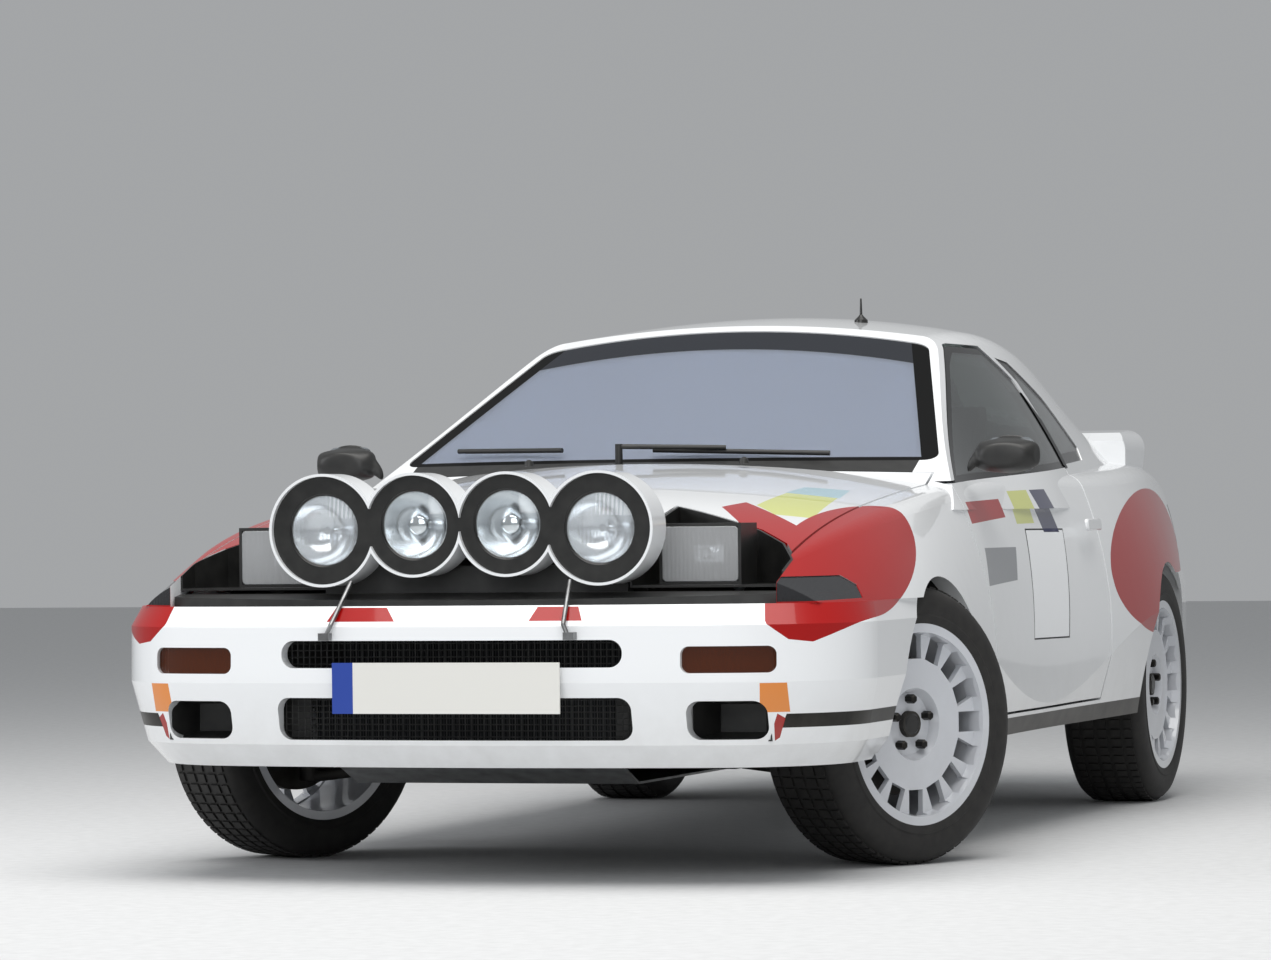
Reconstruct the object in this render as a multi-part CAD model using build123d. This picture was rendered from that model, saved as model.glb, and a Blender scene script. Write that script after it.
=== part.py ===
"""Four-wheel-drive rally coupe with a liftback, a four-lamp pod and 17 inch tarmac wheels.

Millimetres, +Z up. The car faces -Y and its left side is +X. The origin lies on the ground,
in the middle of the car's length and width. The front wheels are stored steered to the right.
"""
import os
from math import cos, hypot, radians, sin, sqrt

from build123d import *

os.makedirs("parts", exist_ok=True)

# Main sizes
LENGTH = 4410.0
WHEELBASE = 2525.0
FRONT_AXLE_Y = -1262.0
REAR_AXLE_Y = FRONT_AXLE_Y + WHEELBASE
FRONT_WHEEL_X = 735.0
REAR_WHEEL_X = 705.0
NOSE_Y = -LENGTH / 2

# Walls and gaps
BODY_WALL = 42.0
DOOR_WALL = 95.0
CABIN_WALL = 30.0
BUMPER_WALL = 34.0
BUMPER_LIP = 64.0
GLASS_INSET, GLASS_WALL = 3.0, 5.0
SHUT_GAP = 6.0
DOOR_REAR_GAP = 11.0
REST_GAP = 0.3
WAY_OUT = 1200.0

# Tyres and rims
TYRE_R = 317.0
TYRE_HALF_WIDTH = 112.0
TREAD_HALF_WIDTH = 92.0
RIM_HALF_WIDTH = 106.0
BEAD_R = 216.0
FLANGE_R = 228.0
BARREL_WALL = 8.0
DISC_FACE_U = 84.0
DISC_WALL = 14.0
MOUNT_FACE_U = 46.0
SLOT_COUNT = 16
SLOT_LOW_R, SLOT_HIGH_R = 148.0, 205.0
SLOT_WIDTH = 46.0
BOWL_R = 70.0
BOLT_COUNT = 5
BOLT_CIRCLE_R = 57.15
BOLT_HOLE_R = 7.5
HUB_BORE_R = 30.0

# Hubs and steering
HUB_R = 72.0
SPIGOT_R = HUB_BORE_R - 0.5
BRAKE_DISC_R = 160.0
BRAKE_DISC_U, BRAKE_DISC_WALL = 8.0, 28.0
KINGPIN_X = 690.0
KINGPIN_R = 24.0
KINGPIN_LOW_Z = 208.0
HUB_BARREL_R = 44.0
ARM_R, LINK_R = 14.0, 16.0
KINGPIN_TOP_Z = 430.0
REST_STEER = -27.0
STRUT_TOP_X, STRUT_TOP_Z = 528.0, 758.0
STRUT_FOOT_X, STRUT_FOOT_Z = 600.0, 440.0
STRUT_R, SPRING_R = 22.0, 46.0
SPRING_START = 0.66
TOWER_Z = 772.0
REAR_STRUT_TOP_X, REAR_STRUT_TOP_Z = 520.0, 760.0

# Wheel spaces
ARCH_R = 382.0
ARCH_Z = 268.0
LINER_R = 405.0
LINER_WALL = 5.0
LINER_LOW_Z = 300.0
SKIN_X = 806.0
WELL_X = 445.0

# Body sections along the car, one row each:
# y, bottom half width, widest half width, widest height, shoulder half width,
# shoulder height, crown height, side bulge, shoulder radius
LOWER_ROWS = [
    (-2330, 735, 790, 520, 560, 590, 620, 12, 40),
    (-2050, 775, 828, 540, 668, 668, 722, 14, 50),
    (-1750, 815, 858, 550, 722, 738, 812, 16, 60),
    (-1262, 832, 872, 560, 752, 806, 880, 18, 70),
    (-700, 812, 848, 430, 744, 852, 930, 24, 60),
    (500, 814, 850, 430, 742, 884, 935, 24, 60),
    (1262, 812, 850, 520, 722, 905, 945, 20, 75),
    (1850, 715, 742, 540, 655, 900, 950, 18, 70),
    (2330, 620, 645, 560, 560, 870, 915, 14, 60),
]
LOWER_BOTTOM_Z = 255.0
FLOOR_Z = LOWER_BOTTOM_Z + 0.2

# y, base half width, roof corner half width, roof corner height, crown height
CABIN_ROWS = [
    (-950, 754, 500, 1150, 1195),
    (-525, 762, 506, 1186, 1228),
    (-100, 770, 512, 1222, 1260),
    (350, 772, 516, 1250, 1303),
    (800, 730, 508, 1224, 1285),
    (1200, 705, 484, 1150, 1212),
    (1600, 680, 455, 1046, 1102),
    (2050, 640, 440, 900, 958),
]
CABIN_BASE_Z = 800.0
CABIN_BULGE = 16.0
ROOF_CORNER_R = 95.0

# Plan of the nose and tail
END_HALF_WIDTH = 900.0
NOSE_PLAN_Y, NOSE_BOW, NOSE_CORNER_R = -2130.0, 110.0, 330.0
TAIL_PLAN_Y, TAIL_BOW, TAIL_CORNER_R = 2150.0, 70.0, 560.0

# Windscreen: a cylinder whose axis follows the rake
SCREEN_BASE_Y, SCREEN_BASE_Z = -800.0, 918.0
SCREEN_RAKE = 23.7
SCREEN_R = 3300.0
SCREEN_BASE_HALF, SCREEN_TOP_HALF = 684.0, 504.0
SCREEN_LOW_V, SCREEN_HIGH_V = 12.0, 848.0
SCREEN_BASE_BOW, SCREEN_TOP_BOW = 155.0, 22.0
SCREEN_CORNER_R = 50.0

# Shut lines
BUMPER_TOP_Z = 606.0
REAR_BUMPER_TOP_Z = 620.0
HOOD_HALF = 686.0
HOOD_FRONT_Y = -1955.0
HOOD_REAR_Y, HOOD_REAR_BOW = -836.0, 150.0
DOOR_FRONT_Y = -722.0
DOOR_BOTTOM_Z = 312.0
DOOR_INNER_X = 698.0
DOOR_REAR_LOW_Y, DOOR_REAR_MID_Y, DOOR_REAR_TOP_Y = 440.0, 500.0, 560.0
DOOR_MID_Z = 560.0
BELT_FRONT_Z, BELT_RISE = 862.0, 0.034
ROOF_REAR_Y = 868.0
HATCH_TOP_HALF, HATCH_MID_HALF, HATCH_LOW_HALF = 452.0, 560.0, 628.0
HATCH_MID_Y = 1500.0
HATCH_BOTTOM_Z = 800.0

# Splits between the fixed panels
PILLAR_DEPTH = 24.0
ROOF_HALF, ROOF_FRONT_Y = 470.0, -70.0
TAIL_HALF, TAIL_SPLIT_Y = 770.0, 1990.0
COWL_HALF, COWL_REAR_Y = 640.0, -560.0
FLOOR_HALF, FLOOR_REAR_HALF, FLOOR_REAR_Y = 770.0, 560.0, 1970.0
JACK_PAD_X, JACK_PAD_YS = 700.0, (-600.0, 700.0)
JACK_PAD_WIDTH, JACK_PAD_LENGTH, JACK_PAD_DEPTH = 60.0, 80.0, 8.0
FIREWALL_Y, FIREWALL_WALL, FIREWALL_TOP_Z = -770.0, 12.0, 850.0
SIDE_CUT_X = 300.0
FENDER_INNER_X = 600.0

# Side glass as (y, z) points; the door glass ends at the slanted divider
DOOR_GLASS_TOP = [(-640, 905), (-110, 1196), (60, 1212), (330, 1212), (475, 1130)]
QUARTER_GLASS = [(606, 915), (525, 1130), (430, 1192), (560, 1182), (800, 1090), (985, 962), (960, 928)]
DOOR_GLASS_FRONT_Y = -692.0
GLASS_GAP = 8.0

# Rear window on the liftback, as (half width, y) points
HATCH_WINDOW = [(418.0, 905.0), (505.0, 1480.0), (560.0, 1640.0)]

# Tail lamps
TAIL_LAMP = (300.0, 700.0, 662.0, 768.0)
TAIL_LAMP_WALL = 30.0

# Engine bay and exhaust
RAIL_X, RAIL_HALF_WIDTH, RAIL_LOW_Z, RAIL_HIGH_Z = 400.0, 30.0, 300.0, 380.0
RAIL_FRONT_Y = -2085.0
TOWER_WALL = 8.0
RADIATOR_LOW_Z = 312.0
ENGINE_HALF, ENGINE_FRONT_Y, ENGINE_REAR_Y = 330.0, -1800.0, -1150.0
ENGINE_LOW_Z, ENGINE_HIGH_Z = 265.0, 700.0
GUARD_Z, GUARD_WALL = 209.0, 5.0
GUARD_FRONT_Y, GUARD_REAR_Y = -2020.0, -900.0
MEMBER_LOW_Z, MEMBER_HIGH_Z = 214.0, 262.0
REAR_MEMBER_LOW_Z = 190.0
EXHAUST_X, EXHAUST_Z, EXHAUST_R = -200.0, 184.0, 26.0
TAILPIPE_X, TAILPIPE_Z, TAILPIPE_R, TAILPIPE_WALL = -330.0, 194.0, 38.0, 4.0
TAILPIPE_END_Y = 2190.0

# Inside
SEAT_X, SEAT_HALF, SEAT_HOLLOW_HALF = 350.0, 208.0, 162.0
DASH_HALF = 630.0
STEERING_CENTRE = (SEAT_X, -330.0, 800.0)
STEERING_R, STEERING_GRIP_R = 170.0, 14.0
CAGE_R, SIDE_TUBE_R, BAR_R = 19.0, 17.0, 15.0
CAGE_BEND_R, CAGE_CLEAR = 90.0, 3.0
SIDE_TUBE_END_X, CAGE_STAY_X = 345.0, 290.0
CAGE_HALF, CAGE_TOP_HALF, CAGE_TOP_Z = 590.0, 424.0, 1165.0
HOOP_Y, SCREEN_HOOP_Y, SCREEN_TOP_Y = 390.0, -560.0, -8.0
STAY_FOOT = (395.0, 1180.0)

# Mirrors, wipers, wing and mud flaps
MIRROR_LOW_X, MIRROR_HIGH_X = 768.0, 925.0
MIRROR_LOW_Z, MIRROR_HIGH_Z = 872.0, 990.0
# pivot x, pivot y, height along the windscreen at the pivot, tip x, tip height
WIPERS = [(-60.0, -811.0, 40.0, 440.0, 85.0), (-600.0, -690.0, 150.0, -230.0, 75.0)]
WIPER_R, WIPER_LIFT = 6.0, 15.0
WING_HALF, WING_LEG_WALL = 590.0, 110.0
WING_TOP_Z, WING_END_R = 1022.0, 60.0
FLAP_Y, FLAP_WALL, FLAP_LOW_Z = -850.0, 6.0, 110.0

# Lamps; the headlamp bay in plan runs from its inner front corner round to its outer one
BAY = [
    (352.0, -2010.0), (352.0, -1645.0), (420.0, -1680.0), (580.0, -1765.0),
    (655.0, -1835.0), (700.0, -1925.0), (700.0, -2010.0),
]
BAY_FLOOR_Z = 645.0
BAY_FRONT_Y = -1996.0
BAY_WALL = 5.0
HEADLAMP_X, HEADLAMP_HALF_WIDTH = 492.0, 93.0
HEADLAMP_LOW_Z, HEADLAMP_HIGH_Z = 645.0, 778.0
HEADLAMP_FRONT_Y, HEADLAMP_DEPTH = -1932.0, 120.0
# x, height, shell radius, lens radius
POD_LAMPS = [
    (-317.5, 771.0, 124.0, 80.0), (-107.0, 781.0, 114.0, 77.0),
    (107.0, 781.0, 114.0, 77.0), (317.5, 771.0, 124.0, 80.0),
]
STAY_R, STAY_PAD_HALF, STAY_GAP = 5.0, 12.0, 5.0
STAY_FOOT_X, STAY_FOOT_Y, STAY_FOOT_Z = 280.0, -2199.0, 535.0
STAY_KNEE_Y, STAY_KNEE_Z = -2194.0, 566.0
POD_FRONT_Y, POD_REAR_Y = -2108.0, -2014.0
STAY_TOP_X, STAY_TOP_Y = 252.0, POD_FRONT_Y + 4.0
POD_SHELL_WALL = 6.0
SADDLE_HALF, SADDLE_REAR_Y = 150.0, -1900.0
POD_FACE_INSET = 12.0
POD_FACE_WALL = 70.0
LENS_WALL = 60.0

# Corner lamps in (y, z)
CORNER_LAMP = [(-2200, 607), (-2200, 662), (-1830, 662), (-1790, 640), (-1800, 612)]
CORNER_LAMP_INSET = 2.0

# Front bumper openings
INTAKE_CORNER_R = 28.0
AMBER_CORNER_R = 18.0
AMBER_INSET, AMBER_WALL = 12.0, 18.0
UPPER_INTAKE = (390.0, 473.0, 532.0)
LOWER_INTAKE = (405.0, 316.0, 408.0)
AMBER_RECESS = (515.0, 713.0, 460.0, 517.0)
DUCT_HOLE = (522.0, 690.0, 317.0, 400.0)
PLATE_HALF, PLATE_LOW_Z, PLATE_HIGH_Z = 260.0, 375.0, 485.0
PLATE_WALL = 4.0

# Bumper sections: height, half width, tip, bow, corner radius
FRONT_BUMPER_ROWS = [
    (255, 798, -2120, 95, 290),
    (305, 832, -2164, 100, 300),
    (440, 862, -2196, 105, 310),
    (562, 862, -2192, 105, 310),
    (606, 846, -2156, 100, 300),
]
REAR_BUMPER_ROWS = [
    (285, 630, 2130, 60, 130),
    (340, 674, 2185, 62, 150),
    (470, 690, 2205, 65, 160),
    (580, 690, 2203, 65, 160),
    (620, 684, 2180, 62, 160),
]
# The rear bumper widens towards the wheel arches
REAR_BUMPER_SPLAY = 140.0
FRONT_BUMPER_BACK_Y, REAR_BUMPER_BACK_Y = -1430.0, 1405.0


def tidy(shape):
    """The single solid, or a compound of the solids, of a boolean's result."""
    solids = shape.solids()
    return solids[0] if len(solids) == 1 else Compound(children=list(solids))


def save(name, shape):
    """Writes one node."""
    export_step(tidy(shape), f"parts/{name}.step")


def mirrored(shape):
    return mirror(shape, about=Plane.YZ)


def both_sides(shape):
    return shape + mirrored(shape)


def prism(axis, points, low, high, radius=0.0, margin=0.0):
    """A polygon in the plane across an axis, grown by a margin, pushed from low to high."""
    place = {
        "x": lambda a, b: Vector(low, a, b),
        "y": lambda a, b: Vector(a, low, b),
        "z": lambda a, b: Vector(a, b, low),
    }[axis]
    along = {"x": (1, 0, 0), "y": (0, 1, 0), "z": (0, 0, 1)}[axis]
    corners = [place(a, b) for a, b in points]
    wire = Wire.make_polygon(corners, close=True)
    if margin:
        wire = wire.offset_2d(margin, kind=Kind.INTERSECTION)
    face = Face(wire)
    if radius:
        face = face.fillet_2d(radius, face.vertices())
    return extrude(face, amount=high - low, dir=along)


def slab(x, y, z):
    """A box between the given ranges."""
    (x0, x1), (y0, y1), (z0, z1) = x, y, z
    return Pos((x0 + x1) / 2, (y0 + y1) / 2, (z0 + z1) / 2) * Box(x1 - x0, y1 - y0, z1 - z0)


def rounded(x, y, z, radius, axis):
    """A box between the given ranges, its edges along one axis rounded."""
    box = slab(x, y, z)
    return fillet(box.edges().filter_by(axis), radius)


def rod(start, end, radius):
    """A round bar between two points."""
    a, b = Vector(*start), Vector(*end)
    plane = Plane(origin=a, z_dir=b - a)
    return plane * Cylinder(radius, (b - a).length, align=(Align.CENTER, Align.CENTER, Align.MIN))


def disc(x, y, z, radius, length, direction):
    """A cylinder that starts at a point and runs along a direction."""
    plane = Plane(origin=(x, y, z), z_dir=direction)
    return plane * Cylinder(radius, length, align=(Align.CENTER, Align.CENTER, Align.MIN))


def largest(shape, count=1):
    """The largest solids of a shape."""
    solids = sorted(shape.solids(), key=lambda s: s.volume, reverse=True)[:count]
    return solids[0] if count == 1 else Compound(children=solids)


def joined(shapes):
    """One shape from a list of them."""
    result = shapes[0]
    for shape in shapes[1:]:
        result += shape
    return result


def side_arc(low, high, bulge):
    """The middle of a bulged side between two (x, z) points."""
    dx, dz = high[0] - low[0], high[1] - low[1]
    chord = hypot(dx, dz)
    return (low[0] + high[0]) / 2 + bulge * dz / chord, (low[1] + high[1]) / 2 - bulge * dx / chord


def section(y, outline, bulge, corner_x, corner_z, crown_z, corner_r):
    """A closed body section: straight lower sides, bulged upper sides, crowned top."""
    corner = (corner_x, corner_z)
    mid_x, mid_z = side_arc(outline[-1], corner, bulge)

    def at(x, z):
        return Vector(x, y, z)

    right = [at(x, z) for x, z in outline]
    left = [at(-x, z) for x, z in reversed(outline)]
    edges = [Edge.make_line(left[-1], right[0])]
    edges += [Edge.make_line(a, b) for a, b in zip(right, right[1:])]
    edges.append(Edge.make_three_point_arc(right[-1], at(mid_x, mid_z), at(*corner)))
    edges.append(Edge.make_three_point_arc(at(*corner), at(0, crown_z), at(-corner_x, corner_z)))
    edges.append(Edge.make_three_point_arc(at(-corner_x, corner_z), at(-mid_x, mid_z), left[0]))
    edges += [Edge.make_line(a, b) for a, b in zip(left, left[1:])]
    face = Face(Wire(edges))
    tops = [v for v in face.vertices() if abs(abs(v.X) - corner_x) < 0.01 and abs(v.Z - corner_z) < 0.01]
    return face.fillet_2d(corner_r, tops)


def lower_body(inset):
    """The body below the windows, taken in by the wall thickness."""
    faces = []
    for y, low_x, wide_x, wide_z, top_x, top_z, crown_z, bulge, radius in LOWER_ROWS:
        outline = [(low_x - inset, LOWER_BOTTOM_Z + inset), (wide_x - inset, wide_z)]
        corner = (top_x - inset, top_z - 0.7 * inset)
        faces.append(section(y, outline, bulge, *corner, crown_z - inset, max(radius - inset, 15)))
    return loft(faces)


def screen_plane():
    """Local X across the car, local Y into the cabin, local Z up along the windscreen."""
    rake = radians(SCREEN_RAKE)
    return Plane(origin=(0, SCREEN_BASE_Y, SCREEN_BASE_Z), x_dir=(1, 0, 0), z_dir=(0, cos(rake), sin(rake)))


def screen_cutter(inset):
    """What lies in front of and above the windscreen surface."""
    slope = screen_plane()
    reach = WAY_OUT
    drop = SCREEN_R - sqrt(SCREEN_R**2 - reach**2)

    def at(x, depth):
        return slope.from_local_coords(Vector(x, depth, -reach))

    outline = Wire(
        [
            Edge.make_three_point_arc(at(-reach, drop + inset), at(0, inset), at(reach, drop + inset)),
            Edge.make_line(at(reach, drop + inset), at(reach, -WAY_OUT)),
            Edge.make_line(at(reach, -WAY_OUT), at(-reach, -WAY_OUT)),
            Edge.make_line(at(-reach, -WAY_OUT), at(-reach, drop + inset)),
        ]
    )
    return extrude(Face(outline), amount=3 * reach, dir=slope.z_dir)


def cabin(inset):
    """The glasshouse, cut by the windscreen surface."""
    faces = []
    for y, base_x, corner_x, corner_z, crown_z in CABIN_ROWS:
        outline = [(base_x - inset, CABIN_BASE_Z)]
        corner = (corner_x - 0.75 * inset, corner_z - 0.75 * inset)
        faces.append(section(y, outline, CABIN_BULGE, *corner, crown_z - inset, ROOF_CORNER_R - inset))
    return loft(faces) - screen_cutter(inset)


def plan_face(z, half_width, tip_y, bow, corner_r, back_y, splay=0.0):
    """A plan outline at one height: bowed tip, round corners, and sides that may widen backwards."""
    corner_y = tip_y - (bow if tip_y > back_y else -bow)
    back_half = half_width + splay

    def at(x, y):
        return Vector(x, y, z)

    outline = Wire(
        [
            Edge.make_line(at(-back_half, back_y), at(back_half, back_y)),
            Edge.make_line(at(back_half, back_y), at(half_width, corner_y)),
            Edge.make_three_point_arc(at(half_width, corner_y), at(0, tip_y), at(-half_width, corner_y)),
            Edge.make_line(at(-half_width, corner_y), at(-back_half, back_y)),
        ]
    )
    face = Face(outline)
    tips = [v for v in face.vertices() if abs(v.Y - corner_y) < 0.01]
    return face.fillet_2d(corner_r, tips)


def ends(inset):
    """The plan of the nose and the tail, taken in by the wall."""
    nose = plan_face(0, END_HALF_WIDTH, NOSE_PLAN_Y + inset, NOSE_BOW, NOSE_CORNER_R - inset, 0)
    tail = plan_face(0, END_HALF_WIDTH, TAIL_PLAN_Y - inset, TAIL_BOW, TAIL_CORNER_R - inset, 0)
    up = (0, 0, 1)
    return extrude(nose, amount=2 * WAY_OUT, dir=up) + extrude(tail, amount=2 * WAY_OUT, dir=up)


def bumper(rows, back_y, splay=0.0):
    """A bumper skin: bowed plan outlines joined upwards, hollow behind and below."""
    inward = 1 if back_y > rows[0][2] else -1

    def skin(inset, extra_low, high_drop):
        faces = []
        for i, (z, half_width, tip_y, bow, corner_r) in enumerate(rows):
            z = z - extra_low if i == 0 else z
            z = z - high_drop if i == len(rows) - 1 else z
            back = back_y + inward * inset
            tip = tip_y + inward * inset
            faces.append(plan_face(z, half_width - inset, tip, bow, corner_r - inset, back, splay))
        return loft(faces, ruled=True)

    z, half_width, tip_y, bow, corner_r = rows[-1]
    lip_edge = (half_width - BUMPER_LIP, tip_y + inward * BUMPER_LIP, bow, corner_r - BUMPER_LIP)
    lip = plan_face(z - 2 * BUMPER_WALL, *lip_edge, back_y + inward, splay)
    opening = extrude(lip, amount=4 * BUMPER_WALL, dir=(0, 0, 1))
    return skin(0, 0, 0) - skin(BUMPER_WALL, BUMPER_WALL, BUMPER_WALL) - opening


def wheel_well(axle_y, radius, low_x, high_x):
    """A round-topped wheel space on both sides, open below."""
    drum = disc(low_x, axle_y, ARCH_Z, radius, high_x - low_x, (1, 0, 0))
    well = drum + slab((low_x, high_x), (axle_y - radius, axle_y + radius), (-100, ARCH_Z))
    return both_sides(well)


def arches():
    """The openings in the sides, over wider wells inside."""
    cuts = []
    for axle_y in (FRONT_AXLE_Y, REAR_AXLE_Y):
        for radius, low_x, high_x in ((ARCH_R, SKIN_X - 1, WAY_OUT), (LINER_R, WELL_X, SKIN_X)):
            cuts.append(wheel_well(axle_y, radius, low_x, high_x))
    return joined(cuts)


def screen_prism(margin):
    """The windscreen's outline, pushed through the screen surface."""
    slope = screen_plane()

    def at(x, v):
        return slope.from_local_coords(Vector(x, -WAY_OUT / 4, v))

    base, top = SCREEN_BASE_HALF + margin, SCREEN_TOP_HALF + margin
    low, high = SCREEN_LOW_V - margin, SCREEN_HIGH_V + margin
    low_side, high_side = low + SCREEN_BASE_BOW, high - SCREEN_TOP_BOW
    outline = Wire(
        [
            Edge.make_three_point_arc(at(-base, low_side), at(0, low), at(base, low_side)),
            Edge.make_line(at(base, low_side), at(top, high_side)),
            Edge.make_three_point_arc(at(top, high_side), at(0, high), at(-top, high_side)),
            Edge.make_line(at(-top, high_side), at(-base, low_side)),
        ]
    )
    face = Face(outline)
    face = face.fillet_2d(SCREEN_CORNER_R, face.vertices())
    return extrude(face, amount=WAY_OUT / 2, dir=slope.y_dir)


def belt_z(y):
    """Height of the line under the side windows."""
    return BELT_FRONT_Z + BELT_RISE * (y - DOOR_FRONT_Y)


def door_outline(margin):
    """The door below the belt, as (y, z) points."""
    front, low = DOOR_FRONT_Y - margin, DOOR_BOTTOM_Z - margin
    back = DOOR_REAR_GAP if margin else 0.0
    return [
        (front, low),
        (DOOR_REAR_LOW_Y + back, low),
        (DOOR_REAR_MID_Y + back, DOOR_MID_Z),
        (DOOR_REAR_TOP_Y + back, belt_z(DOOR_REAR_TOP_Y) + margin),
        (front, belt_z(DOOR_FRONT_Y) + margin),
    ]


def door_glass_outline():
    """The frameless door glass, standing on the door's top edge."""
    front, back = DOOR_GLASS_FRONT_Y, DOOR_REAR_TOP_Y - SHUT_GAP
    return [(front, belt_z(front) + REST_GAP)] + DOOR_GLASS_TOP + [(back, belt_z(back) + REST_GAP)]


def hatch_window(margin):
    """The rear window in plan, pushed through the liftback."""
    right = [(x + margin, y) for x, y in HATCH_WINDOW]
    right[0] = (right[0][0], right[0][1] - margin)
    right[-1] = (right[-1][0], right[-1][1] + margin)
    points = right + [(-x, y) for x, y in reversed(right)]
    return prism("z", points, CABIN_BASE_Z, 2 * WAY_OUT, 30)


def half_space(side):
    """Everything on the car's left (1) or right (-1)."""
    low, high = sorted((0, side * 2 * WAY_OUT))
    return slab((low, high), (-3 * WAY_OUT, 3 * WAY_OUT), (-WAY_OUT, 2 * WAY_OUT))


def side_cut(points, margin=0.0):
    """An outline in (y, z), pushed out through both sides."""
    return both_sides(prism("x", points, SIDE_CUT_X, WAY_OUT, margin=margin))


def tail_lamp_prism(margin):
    """The two tail lamp openings, pushed along the car."""
    low_x, high_x, low_z, high_z = TAIL_LAMP
    box = rounded(
        (low_x - margin, high_x + margin),
        (TAIL_SPLIT_Y - 150, 3000),
        (low_z - margin, high_z + margin),
        22 + margin,
        Axis.Y,
    )
    return both_sides(box)


def hood_prism(margin):
    """The hood's plan without the headlamp bays, pushed upwards."""
    half, front = HOOD_HALF - margin, HOOD_FRONT_Y + margin
    side_rear, mid_rear = HOOD_REAR_Y + HOOD_REAR_BOW - margin, HOOD_REAR_Y - margin
    z = 560

    def at(x, y):
        return Vector(x, y, z)

    outline = Wire(
        [
            Edge.make_line(at(-half, front), at(half, front)),
            Edge.make_line(at(half, front), at(half, side_rear)),
            Edge.make_three_point_arc(at(half, side_rear), at(0, mid_rear), at(-half, side_rear)),
            Edge.make_line(at(-half, side_rear), at(-half, front)),
        ]
    )
    return extrude(Face(outline), amount=WAY_OUT, dir=(0, 0, 1))


def bay_prism(margin, low_z):
    """The headlamp bays, grown or shrunk in plan."""
    return both_sides(prism("z", BAY, low_z, WAY_OUT, margin=margin))


def hatch_prism(margin):
    """The liftback in plan."""
    top, middle, low = HATCH_TOP_HALF - margin, HATCH_MID_HALF - margin, HATCH_LOW_HALF - margin
    front = ROOF_REAR_Y + margin
    right = [(top, front), (middle, HATCH_MID_Y), (low, TAIL_PLAN_Y - 200), (low, 2 * WAY_OUT)]
    points = right + [(-x, y) for x, y in reversed(right)]
    return prism("z", points, HATCH_BOTTOM_Z + margin, 2 * WAY_OUT)


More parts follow.
